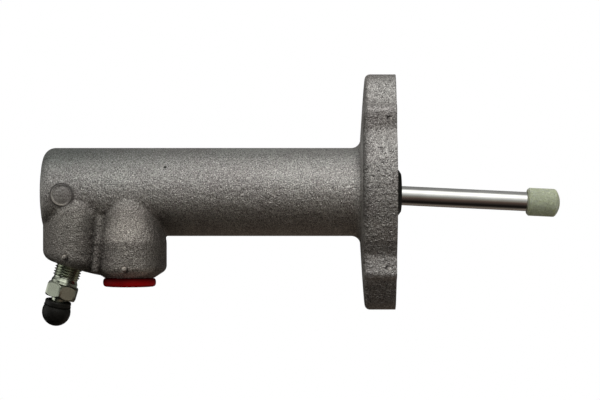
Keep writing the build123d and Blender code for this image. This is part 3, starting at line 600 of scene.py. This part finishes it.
def plastic(name, colour, roughness, size, dark, glow=0.0, shine=0.5, speckle=0.0, shaded=None):
    """Moulded plastic whose tone shifts over `size` towards `dark` of its colour.

    `glow` lets light in, `shine` is its gloss and `speckle` its dirt, and between the two heights
    in `shaded` a painted shadow darkens it.
    """
    s = Shader(name, roughness)
    s.set("Specular IOR Level", shine)
    if glow:
        s.set("Subsurface Weight", glow)
        s.set("Subsurface Radius", (1.0, 1.0, 0.7))
        s.set("Subsurface Scale", 3.5 * MM)
    tone = s.noise(size, 3.0, roughness=0.6)
    skin = s.noise(0.3 * MM, 2.0)
    body = s.blend(s.spread(tone, 0.3, 0.7), rgba(colour), rgba(colour, dark))
    if speckle:
        dots = s.noise(0.5 * MM, 2.0, roughness=0.6)
        body = s.blend(s.spread(dots, 0.5, 0.72, 0.0, speckle), body, rgba(colour, 0.45))
        body = s.blend(s.spread(dots, 0.42, 0.28, 0.0, speckle), body, rgba(colour, 1.5))
    # A painted shadow, darker towards the higher of the two heights.
    if shaded:
        height = s.node("SeparateXYZ", {"Vector": s.place}).outputs["Z"]
        body = s.blend(s.spread(height, *shaded, 0.0, 0.75), body, rgba(colour, 0.2))
    s.set("Base Color", body)
    s.set("Roughness", s.spread(tone, 0.3, 0.7, 0.9 * roughness, 1.15 * roughness))
    s.relief((skin, 0.008 * MM), (tone, 0.03 * MM))
    return s.material


def softened(outline, steps=5):
    """Rounds an outline's corners: its points are (along, radius) or with a corner radius too."""
    points = []
    last = len(outline) - 1
    for index, (x, y, *corner) in enumerate(outline):
        if not corner or index in (0, last):
            points.append((x, y))
            continue
        here = Vector((x, y))
        before = Vector(outline[index - 1][:2]) - here
        after = Vector(outline[index + 1][:2]) - here
        half = before.angle(after) / 2
        reach = corner[0] / math.tan(half)
        start = here + before.normalized() * reach
        end = here + after.normalized() * reach
        for step in range(steps + 1):
            t = step / steps
            bend = start * (1 - t) ** 2 + here * 2 * t * (1 - t) + end * t**2
            points.append((bend.x, bend.y))
    return points


def arc(centre, radius, start, end, steps):
    """A ball's part of an outline, from an angle that isn't in it to one that is."""
    angles = (start + (end - start) * step / steps for step in range(1, steps + 1))
    return [(centre + radius * math.cos(angle), radius * math.sin(angle)) for angle in angles]


def skin_from_rings(name, rings, place, closed):
    """A closed mesh over rings of points, or poles; `closed` joins the last ring to the first."""
    vertices = []
    starts = []
    for ring in rings:
        starts.append(len(vertices))
        vertices.extend(place @ Vector(point) for point in ring)
    faces = []
    pairs = list(zip(range(len(rings)), range(1, len(rings))))
    if closed:
        pairs.append((len(rings) - 1, 0))
    for first, second in pairs:
        a, b = starts[first], starts[second]
        count = max(len(rings[first]), len(rings[second]))
        for step in range(count):
            ahead = (step + 1) % count
            if len(rings[first]) == 1:
                faces.append((a, b + ahead, b + step))
            elif len(rings[second]) == 1:
                faces.append((a + step, a + ahead, b))
            else:
                faces.append((a + step, a + ahead, b + ahead, b + step))
    mesh = bpy.data.meshes.new(name)
    mesh.from_pydata(vertices, [], faces)
    return finished_mesh(name, mesh)


def placed(name, data):
    """A new object in the scene."""
    made = bpy.data.objects.new(name, data)
    bpy.context.scene.collection.objects.link(made)
    return made


def finished_mesh(name, mesh, angle=32.0):
    """Turns a mesh's faces outwards, shades it smooth with crisp edges and puts it in the scene."""
    work = bmesh.new()
    work.from_mesh(mesh)
    bmesh.ops.recalc_face_normals(work, faces=work.faces)
    work.to_mesh(mesh)
    work.free()
    mesh.polygons.foreach_set("use_smooth", [True] * len(mesh.polygons))
    mesh.set_sharp_from_angle(angle=math.radians(angle))
    return placed(name, mesh)


def turned_ring(along, radius, segments):
    """One ring of points about local X, or a pole where the radius is nothing."""
    if radius < 1e-9:
        return [(along, 0.0, 0.0)]
    angles = (ROUND * step / segments for step in range(segments))
    return [(along, radius * math.cos(angle), radius * math.sin(angle)) for angle in angles]


def turned_piece(name, outline, place, segments=96):
    """A turned piece in millimetres from its outline, as softened() takes it."""
    points = [(x * MM, y * MM) for x, y in softened(outline)]
    rings = [turned_ring(x, y, segments) for x, y in points]
    return skin_from_rings(name, rings, place, closed=points[0][1] > 0)


def stand_for(piece, node, body, material):
    """Puts a finished piece in a CAD node's place."""
    piece.data.materials.clear()
    piece.data.materials.append(material)
    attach(piece, body)
    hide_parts(node)


def dress(material, *nodes):
    """Gives CAD nodes a new material."""
    for node in nodes:
        mesh = frame["nodes"][node].data
        mesh.materials.clear()
        mesh.materials.append(material)


class SLAVE_OT_casting(bpy.types.Operator):
    """Gives the cast body its metal skin"""

    bl_idname = "slave.casting"
    bl_label = "Cast body"

    def execute(self, context):
        dress(CastSkin(context.scene.slave_casting).write(), "cylinder_body")
        return {"FINISHED"}


class SLAVE_OT_bleed_screw(bpy.types.Operator):
    """Builds the bleed screw with its real thread, hexagon and nipple"""

    bl_idname = "slave.bleed_screw"
    bl_label = "Bleed screw"

    # Places along the screw and radii, in millimetres.
    seat = ((-16.5, 1.4), (-14.0, 3.9), (-12.0, 3.9))
    thread_start, thread_end = -12.0, 4.9
    crest_start, crest_end, crest_growth = -11.9, 4.85, 0.55
    thread_steps = 14 * 17
    collar_start = 4.95
    collar = ((6.1, 4.92), (6.2, 4.95), (7.05, 4.95), (7.15, 5.0), (7.2, 5.2))
    hex_start, hex_end = 7.2, 12.6
    chamfer = (0.0, 0.12, 0.25, 0.4, 0.55, 0.72, 0.9)
    chamfer_slope = 1.13
    chamfer_inset = 0.15
    nipple = (
        (12.6, 5.2), (12.6, 3.0, 0.25), (16.6, 3.0, 0.15), (17.2, 3.3, 0.15),
        (17.8, 3.3, 0.15), (20.4, 2.4, 0.2), (20.4, 1.2, 0.1), (19.0, 1.2),
    )
    bore_end, bore_radius = -13.0, 1.2

    def thread_radius(self, settings, at, angle):
        """Radius of the helical thread at a place on the shank, in metres."""
        root = settings.thread - settings.depth
        turn = at / settings.pitch - angle / ROUND
        crest = settings.thread - settings.depth * (1 + math.cos(ROUND * turn)) / 2
        room = min(at / MM - self.crest_start, self.crest_end - at / MM)
        return root + (crest - root) * min(max(room, 0.0) / self.crest_growth, 1.0)

    def hex_radius(self, settings, start, at, angle):
        """Radius of the hexagon at an angle, under the chamfer that starts at one of its ends."""
        sixth = ROUND / 6
        flat = settings.flats / 2 / math.cos(angle % sixth - sixth / 2)
        rise = abs(at - start * MM) * self.chamfer_slope
        return min(flat, settings.flats / 2 - self.chamfer_inset * MM + rise)

    def execute(self, context):
        settings = context.scene.slave_screw
        root = (settings.thread - settings.depth) / MM
        angles = [ROUND * step / settings.segments for step in range(settings.segments)]
        rings = [[(self.seat[0][0] * MM, 0, 0)]]

        def ring(along, radius):
            at = along * MM
            radii = [radius(at, angle) if callable(radius) else radius * MM for angle in angles]
            rings.append([(at, r * math.cos(a), r * math.sin(a)) for r, a in zip(radii, angles)])

        for along, radius in (*self.seat, (self.thread_start, root)):
            ring(along, radius)
        run = self.thread_end - self.thread_start
        for step in range(self.thread_steps + 1):
            along = self.thread_start + run * step / self.thread_steps
            ring(along, partial(self.thread_radius, settings))
        for along, radius in ((self.collar_start, root), *self.collar):
            ring(along, radius)
        for start, inwards in ((self.hex_start, 1), (self.hex_end, -1)):
            for depth in self.chamfer[::inwards]:
                ring(start + inwards * depth, partial(self.hex_radius, settings, start))
        for along, radius in (*softened(self.nipple, 3), (self.bore_end, self.bore_radius)):
            ring(along, radius)
        rings.append([(self.bore_end * MM, 0, 0)])
        piece = skin_from_rings("bleed_screw_body", rings, SCREW_PLACE, closed=False)
        material = steel("zinc_plating", settings.colour, 0.21, depth=0.013 * MM)
        stand_for(piece, "bleed_screw", "screw", material)
        return {"FINISHED"}


class SLAVE_OT_rubber(bpy.types.Operator):
    """Builds the sagging rubber cap and gives the boot and the seals their rubber"""

    bl_idname = "slave.rubber"
    bl_label = "Rubber cap, boot and seals"

    # The boot's outline: the inside of its sleeve, its hidden shoulder and its round nose.
    boot_outline = (
        (-0.65, 6.3), (-0.65, 8.45), (-1.95, 9.9), (-1.95, 10.9, 0.2), (-6.85, 10.9, 0.2),
        (-6.85, 12.2, 0.3), (-1.3, 12.2, 0.4), (-0.65, 11.5), (-0.65, 10.6), (0.2, 9.1, 0.15),
        (0.8, 8.9, 0.5), (1.5, 8.1, 0.6), (2.15, 7.1, 0.5), (2.25, 6.3, 0.15),
    )
    nose_sag = 0.22

    def boot(self, material):
        """The boot in the mouth of the bore, whose nose sags a little."""
        nose = turned_piece("dust_boot_rubber", self.boot_outline, Matrix.Identity(4))
        for vertex in nose.data.vertices:
            vertex.co.z -= self.nose_sag * min(max(vertex.co.x, 0.0), 1.0 * MM)
        stand_for(nose, "dust_boot", "housing", material)

    def cap(self, settings, material):
        """The cap on the nipple: a lip, a neck and a ball, leaning about the ball's middle."""
        lip = settings.lip / MM
        ball = settings.ball / MM
        start, lip_end, neck_start, neck_end = 13.5, 15.35, 15.45, 15.5
        neck, hollow, hollow_start, hollow_end = 4.5, 3.38, 16.0, 20.7
        middle, drop, steps = 17.8, 0.2, 18
        meet = math.sqrt(ball**2 - (middle - neck_end) ** 2)
        outline = [(hollow_start, hollow), (start, 3.75, 0.2), (start, lip, 0.55)]
        outline += [(lip_end, lip, 0.3), (neck_start, neck, 0.12), (neck_end, meet, 0.1)]
        outline += arc(middle, ball, math.atan2(meet, neck_end - middle), 0, steps)
        outline += [(hollow_end, 0.0), (hollow_end, hollow, 0.3), (hollow_start, hollow)]
        centre = Matrix.Translation((middle * MM, 0, drop * MM))
        lean = Matrix.Rotation(-settings.sag, 4, "Y") @ Matrix.Rotation(settings.turn, 4, "Z")
        place = SCREW_PLACE @ centre @ lean @ Matrix.Translation((-middle * MM, 0, 0))
        piece = turned_piece("bleed_cap_rubber", outline, place, 72)
        stand_for(piece, "bleed_cap", "cap", material)

    def execute(self, context):
        settings = context.scene.slave_rubber
        material = rubber(settings.colour)
        self.cap(settings, material)
        self.boot(material)
        dress(material, "rear_seal", "primary_cup")
        return {"FINISHED"}


class SLAVE_OT_port_plug(bpy.types.Operator):
    """Builds the red transport plug"""

    bl_idname = "slave.port_plug"
    bl_label = "Transport plug"

    def execute(self, context):
        settings = context.scene.slave_plug
        head = settings.head / MM
        bottom, edge, stem, rib, hollow, wall = 0.08, 1.4, 5.15, 5.42, 3.9, 1.4
        top = bottom + settings.thickness / MM
        outline = [(top, 0.0), (top, head, edge), (bottom, head, edge), (bottom, stem, 0.3)]
        for start in (-2.4, -4.8):
            outline += [(start + 0.02, stem), (start, rib, 0.06)]
            outline += [(start - 0.5, rib, 0.06), (start - 1.0, stem)]
        outline += [(-9.0, stem, 0.2), (-9.0, hollow, 0.2)]
        outline += [(top - wall, hollow, 0.3), (top - wall, 0.0)]
        plug = turned_piece("port_plug_moulding", outline, PLUG_PLACE)
        # The boss's painted shadow on the plug's head, between these heights.
        under = (PORT_MOUTH[2] - 2.2 * MM, PORT_MOUTH[2] - 0.6 * MM)
        red = plastic("red_plastic", settings.colour, 0.42, 4 * MM, 0.8, shine=0.05, shaded=under)
        stand_for(plug, "port_plug", "plug", red)
        return {"FINISHED"}


class SLAVE_OT_push_rod(bpy.types.Operator):
    """Builds the polished push rod and its nylon tip"""

    bl_idname = "slave.push_rod"
    bl_label = "Push rod and tip"

    # Places from the ball's centre along the rod, and radii, in millimetres.
    ball, neck, neck_end, end_chamfer, ball_steps = 4.3, 3.0, 7.6, 0.8, 20
    tip_start, tip_length, crown, crown_corner, crown_steps = 75.4, 12.38, 1.9, 1.3, 8
    tip_chamfer, clearance = 0.75, 0.03

    def shaft(self, settings, radius, length):
        """The rod: its ball, its neck and its chamfered end."""
        chamfer = self.end_chamfer
        outline = [(-self.ball, 0.0)]
        neck_angle = math.asin(self.neck / self.ball)
        outline += arc(0, self.ball, math.pi, neck_angle, self.ball_steps)
        outline += [(self.neck_end, self.neck, 0.4)]
        outline += [(self.neck_end + radius - self.neck, radius, 0.3)]
        outline += [(length - chamfer, radius, 0.2), (length, radius - chamfer, 0.2), (length, 0.0)]
        piece = turned_piece("push_rod_steel", outline, ROD_PLACE)
        polish = steel("bright_steel", settings.steel, 0.12, 0.25 * MM, (0.03, 1, 1))
        stand_for(piece, "push_rod", "rod_group", polish)

    def tip(self, settings, radius, length):
        """The tip: its shallow crown, its chamfered mouth and the hole that takes the rod."""
        tip = settings.tip / MM
        end = self.tip_start + self.tip_length
        hole = radius + self.clearance
        dome = (tip**2 + self.crown**2) / (2 * self.crown)
        outline = [(end, 0.0)]
        for step in range(1, self.crown_steps + 1):
            out = (tip - self.crown_corner) * step / self.crown_steps
            outline.append((end - dome + math.sqrt(dome**2 - out**2), out))
        outline += [(end - self.crown, tip, self.crown_corner)]
        outline += [(self.tip_start + self.tip_chamfer, tip, 0.3)]
        outline += [(self.tip_start, tip - self.tip_chamfer, 0.2), (self.tip_start, hole, 0.1)]
        outline += [(length + self.clearance, hole), (length + self.clearance, 0.0)]
        piece = turned_piece("rod_tip_nylon", outline, ROD_PLACE)
        nylon = plastic(
            "nylon", settings.nylon, 0.5, 1.2 * MM, 0.8, glow=0.9, shine=0.3, speckle=0.7
        )
        stand_for(piece, "rod_tip", "rod_group", nylon)

    def execute(self, context):
        settings = context.scene.slave_rod
        radius = settings.radius / MM
        length = settings.reach / MM
        self.shaft(settings, radius, length)
        self.tip(settings, radius, length)
        return {"FINISHED"}


class SLAVE_OT_piston_spring(bpy.types.Operator):
    """Winds the return spring with Geometry Nodes"""

    bl_idname = "slave.piston_spring"
    bl_label = "Return spring"

    turn_steps, wire_sides, shut_turns = 40, 16, 2.0
    shut_pitch = 2.12

    def winding(self, labels, material):
        """The spring's node tree, and the identifier of each of its inputs."""
        tree = bpy.data.node_groups.new("piston_spring", "GeometryNodeTree")
        face = tree.interface
        sockets = {}
        face.new_socket("Geometry", in_out="INPUT", socket_type="NodeSocketGeometry")
        for label in labels:
            socket = face.new_socket(label, in_out="INPUT", socket_type="NodeSocketFloat")
            sockets[label] = socket.identifier
        face.new_socket("Geometry", in_out="OUTPUT", socket_type="NodeSocketGeometry")
        g = Nodes(tree)
        given = g.node("NodeGroupInput").outputs
        coil, wire, open_turns, front, back = (given[label] for label in labels)
        count = g.plus(g.times(g.plus(open_turns, self.shut_turns), self.turn_steps), 1.0)
        line = g.first("GeometryNodeMeshLine", {"Count": count})
        turn = g.math("DIVIDE", g.first("GeometryNodeInputIndex"), self.turn_steps)
        opened = g.most(g.less(turn, self.shut_turns / 2), 0.0)
        opened = g.math("MINIMUM", opened, open_turns)
        shut_pitch = g.times(wire, self.shut_pitch)
        open_length = g.less(front, back, g.times(shut_pitch, self.shut_turns))
        open_pitch = g.math("DIVIDE", open_length, open_turns)
        shut = g.times(g.less(turn, opened), shut_pitch)
        along = g.less(front, shut, g.times(opened, open_pitch))
        angle = g.times(turn, ROUND)
        across = g.times(g.math("COSINE", angle), coil)
        height = g.times(g.math("SINE", angle), coil)
        place = g.first("CombineXYZ", {"X": along, "Y": across, "Z": height})
        moved = g.first("GeometryNodeSetPosition", {"Geometry": line, "Position": place})
        path = g.first("GeometryNodeMeshToCurve", {"Mesh": moved})
        ring = {"Resolution": self.wire_sides, "Radius": wire}
        circle = g.first("GeometryNodeCurvePrimitiveCircle", ring)
        sweep = {"Curve": path, "Profile Curve": circle, "Fill Caps": True}
        tube = g.first("GeometryNodeCurveToMesh", sweep)
        real = g.first("GeometryNodeRealizeInstances", {"Geometry": tube})
        finish = {"Geometry": real, "Material": material}
        g.node("NodeGroupOutput", {0: g.first("GeometryNodeSetMaterial", finish)})
        return tree, sockets

    def execute(self, context):
        settings = context.scene.slave_spring
        material = steel("spring_steel", settings.colour, 0.38, 0.4 * MM, depth=0.004 * MM)
        sizes = {
            "Coil radius": settings.coil,
            "Wire radius": settings.wire,
            "Open turns": settings.turns,
            "Front": SPRING_BOX[1].x - settings.wire,
            "Back": SPRING_BOX[0].x + settings.wire,
        }
        tree, sockets = self.winding(sizes, material)
        seed = placed("spring_seed", bpy.data.meshes.new("spring_seed"))
        winding = seed.modifiers.new("Winding", "NODES")
        winding.node_group = tree
        for label, size in sizes.items():
            winding[sockets[label]] = size
        graph = context.evaluated_depsgraph_get()
        mesh = bpy.data.meshes.new_from_object(seed.evaluated_get(graph))
        bpy.data.objects.remove(seed)
        spring = finished_mesh("return_spring", mesh, 60)
        stand_for(spring, "piston_spring", "housing", material)
        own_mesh(spring)
        return {"FINISHED"}


class SLAVE_OT_inner_pieces(bpy.types.Operator):
    """Gives the piston and the small pieces in the bore their metals and plastics"""

    bl_idname = "slave.inner_pieces"
    bl_label = "Inner pieces"

    alloy = (0.72, 0.72, 0.73)
    ring_colour = (0.40, 0.40, 0.41)
    washer_colour = (0.62, 0.60, 0.50)
    guide_colour = (0.80, 0.78, 0.70)

    def execute(self, context):
        piston_alloy = steel("piston_alloy", self.alloy, 0.34, 0.3 * MM, (4, 1, 1), 0.004 * MM)
        ring_steel = steel("ring_steel", self.ring_colour, 0.36, 0.4 * MM)
        washer_steel = steel("washer_steel", self.washer_colour, 0.33, 0.5 * MM)
        guide_plastic = plastic("guide_plastic", self.guide_colour, 0.45, 2 * MM, 0.9)
        dress(piston_alloy, "piston")
        dress(ring_steel, "retaining_ring", "rod_clip")
        dress(washer_steel, "stop_washer", "spring_seat")
        dress(guide_plastic, "guide_ring")
        return {"FINISHED"}


class SLAVE_OT_stage(bpy.types.Operator):
    """Sets the camera, the lamp, the white surround, the pale floor and the light tent"""

    bl_idname = "slave.stage"
    bl_label = "Stage"

    camera_x, camera_z, nearest = -0.0357, -0.003, 0.05
    key_place, key_width, key_target = (0.18, -0.42, 0.60), 0.5, (-0.03, 0, 0)
    sheet_left, sheet_right, sheet_front = -0.7, 0.6, -0.7
    floor_back, foot_back, foot_height = 0.42, 0.5, 5 * MM

    def camera(self, context, settings):
        """Places the camera square to the barrel, as the photograph has it."""
        data = bpy.data.cameras.new("camera")
        data.lens = settings.lens
        data.clip_start = self.nearest
        camera = placed("camera", data)
        camera.location = (self.camera_x, -settings.distance, self.camera_z)
        camera.rotation_euler = (math.radians(90), 0, 0)
        context.scene.camera = camera

    def key_lamp(self, settings):
        """Adds the square soft lamp that looks at the object, without a reflection of its own."""
        data = bpy.data.lights.new("key", "AREA")
        data.shape = "RECTANGLE"
        data.size = self.key_width
        data.size_y = self.key_width
        data.energy = settings.key
        lamp = placed("key", data)
        look = Vector(self.key_target) - Vector(self.key_place)
        lamp.location = self.key_place
        lamp.rotation_euler = look.to_track_quat("-Z", "Y").to_euler()
        lamp.visible_glossy = False

    def emptied(self, owner):
        """A writer for the emptied node tree of a world or a material."""
        owner.use_nodes = True
        owner.node_tree.nodes.clear()
        return Nodes(owner.node_tree)

    def choose(self, nodes, kind, lit, shown):
        """Ends a tree: diffuse rays meet `lit`, and the camera and shiny faces see `shown`."""
        rays = nodes.node("LightPath").outputs
        seen = rays["Is Camera Ray"]
        for ray in ("Is Glossy Ray", "Is Transmission Ray"):
            seen = nodes.first("Math", {0: seen, 1: rays[ray]}, operation="ADD", use_clamp=True)
        mix = nodes.first("MixShader", {0: seen, 1: lit, 2: shown})
        nodes.node("Output" + kind, {"Surface": mix})

    def surround(self, context):
        """A white surround that lights the object only dimly."""
        world = bpy.data.worlds.new("surround")
        context.scene.world = world
        nodes = self.emptied(world)
        dim = nodes.first("Background", {"Color": (1.0, 0.93, 0.84, 1), "Strength": 0.45})
        white = nodes.first("Background", {"Color": (1, 1, 1, 1), "Strength": 1.0})
        self.choose(nodes, "World", dim, white)

    def sheet(self, name, height, back, material):
        """A flat level sheet under the object, which reaches `back` behind it."""
        left, right, front = self.sheet_left, self.sheet_right, self.sheet_front
        corners = ((left, front), (right, front), (right, back), (left, back))
        mesh = bpy.data.meshes.new(name)
        mesh.from_pydata([(x, y, height) for x, y in corners], [], [(0, 1, 2, 3)])
        mesh.materials.append(material)
        piece = placed(name, mesh)
        return piece

    def floor(self, settings):
        """A pale floor that keeps the shadow and throws little light back up."""
        material = bpy.data.materials.new("pale_floor")
        nodes = self.emptied(material)
        pale = nodes.first("BsdfDiffuse", {"Color": (0.30, 0.30, 0.30, 1)})
        lift = nodes.first("Emission", {"Color": (1, 1, 1, 1), "Strength": 0.55})
        dark = nodes.first("BsdfDiffuse", {"Color": (0.26, 0.25, 0.22, 1)})
        self.choose(nodes, "Material", dark, nodes.first("AddShader", {0: pale, 1: lift}))
        self.sheet("floor", settings.floor, self.floor_back, material)

    def tent_glow(self, settings):
        """The light tent's glow, graded from its bright front top to its dark bottom."""
        s = Shader("light_tent")
        apart = s.node("SeparateXYZ", {"Vector": s.place})
        across = apart.outputs["X"]
        front = s.times(apart.outputs["Y"], -1.0)
        angle = s.math("ARCTAN2", apart.outputs["Z"], front)
        stops = [(math.radians(turn), rgba(tint, level / TENT_PEAK)) for turn, level, tint in TENT]
        colour = s.ramp(angle, math.pi, stops)
        low = s.spread(angle, *LOW_BAND)
        high = s.spread(angle, *HIGH_BAND)
        middle = s.less(s.less(1.0, low), high)
        fall = 0.0
        for band, levels in zip((low, middle, high), TENT_BANDS):
            side = s.greys(across, 1.0, zip(TENT_ACROSS, levels), gain=1 / BAND_PEAK)
            fall = s.math("MULTIPLY_ADD", band, s.times(side, BAND_PEAK), fall)
        left_end = s.spread(across, *LEFT_END)
        back = s.times(s.spread(front, *BACK), s.spread(across, *BACK_RIGHT))
        right_end = s.times(s.spread(across, *RIGHT_END), s.less(1.0, back))
        strength = s.times(fall, right_end, TENT_PEAK * settings.tent, s.less(1.0, left_end))
        graded = s.first("Emission", {"Color": colour, "Strength": strength})
        card = s.times(s.spread(across, *RIGHT_CARD), low)
        side_glow = s.plus(s.times(left_end, LEFT_GLOW), card)
        side = s.first("Emission", {"Color": rgba(PALE), "Strength": side_glow})
        output = s.tree.nodes["Material Output"]
        s.tree.nodes.remove(s.surface)
        s.give(output.inputs["Surface"], s.first("AddShader", {0: graded, 1: side}))
        return s.material

    def tent(self, settings):
        """A round light tent with a flat foot, which only shiny faces see."""
        material = self.tent_glow(settings)
        work = bmesh.new()
        bmesh.ops.create_uvsphere(work, u_segments=48, v_segments=24, radius=TENT_RADIUS)
        mesh = bpy.data.meshes.new("light_tent")
        work.to_mesh(mesh)
        work.free()
        mesh.materials.append(material)
        dome = placed("light_tent", mesh)
        foot_height = settings.floor + self.foot_height
        foot = self.sheet("tent_foot", foot_height, self.foot_back, material)
        for piece in (dome, foot):
            for rays in ("camera", "diffuse", "shadow", "transmission"):
                setattr(piece, "visible_" + rays, False)

    def execute(self, context):
        settings = context.scene.slave_stage
        context.scene.view_settings.view_transform = "Standard"
        self.camera(context, settings)
        self.surround(context)
        self.floor(settings)
        self.key_lamp(settings)
        self.tent(settings)
        return {"FINISHED"}


OPERATORS = (
    SLAVE_OT_casting,
    SLAVE_OT_bleed_screw,
    SLAVE_OT_rubber,
    SLAVE_OT_port_plug,
    SLAVE_OT_push_rod,
    SLAVE_OT_piston_spring,
    SLAVE_OT_inner_pieces,
    SLAVE_OT_stage,
)


class SLAVE_PT_panel(bpy.types.Panel):
    """Lists the cylinder's settings and its operators"""

    bl_idname = "SLAVE_PT_panel"
    bl_label = "Slave cylinder"
    bl_space_type = "VIEW_3D"
    bl_region_type = "UI"
    bl_category = "Slave cylinder"

    def draw(self, context):
        for name, group in GROUPS.items():
            box = self.layout.box()
            box.label(text=group.__doc__)
            for field in group.__annotations__:
                box.prop(getattr(context.scene, name), field)
        for operator in OPERATORS:
            self.layout.operator(operator.bl_idname)


def register():
    for kind in (*GROUPS.values(), *OPERATORS, SLAVE_PT_panel):
        bpy.utils.register_class(kind)
    for name, group in GROUPS.items():
        setattr(bpy.types.Scene, name, PointerProperty(type=group))


def unregister():
    for name in GROUPS:
        delattr(bpy.types.Scene, name)
    for kind in reversed((*GROUPS.values(), *OPERATORS, SLAVE_PT_panel)):
        bpy.utils.unregister_class(kind)


def main():
    register()
    bpy.ops.slave.casting()
    bpy.ops.slave.bleed_screw()
    bpy.ops.slave.rubber()
    bpy.ops.slave.port_plug()
    bpy.ops.slave.push_rod()
    bpy.ops.slave.piston_spring()
    bpy.ops.slave.inner_pieces()
    bpy.ops.slave.stage()


if __name__ == "__main__":
    main()
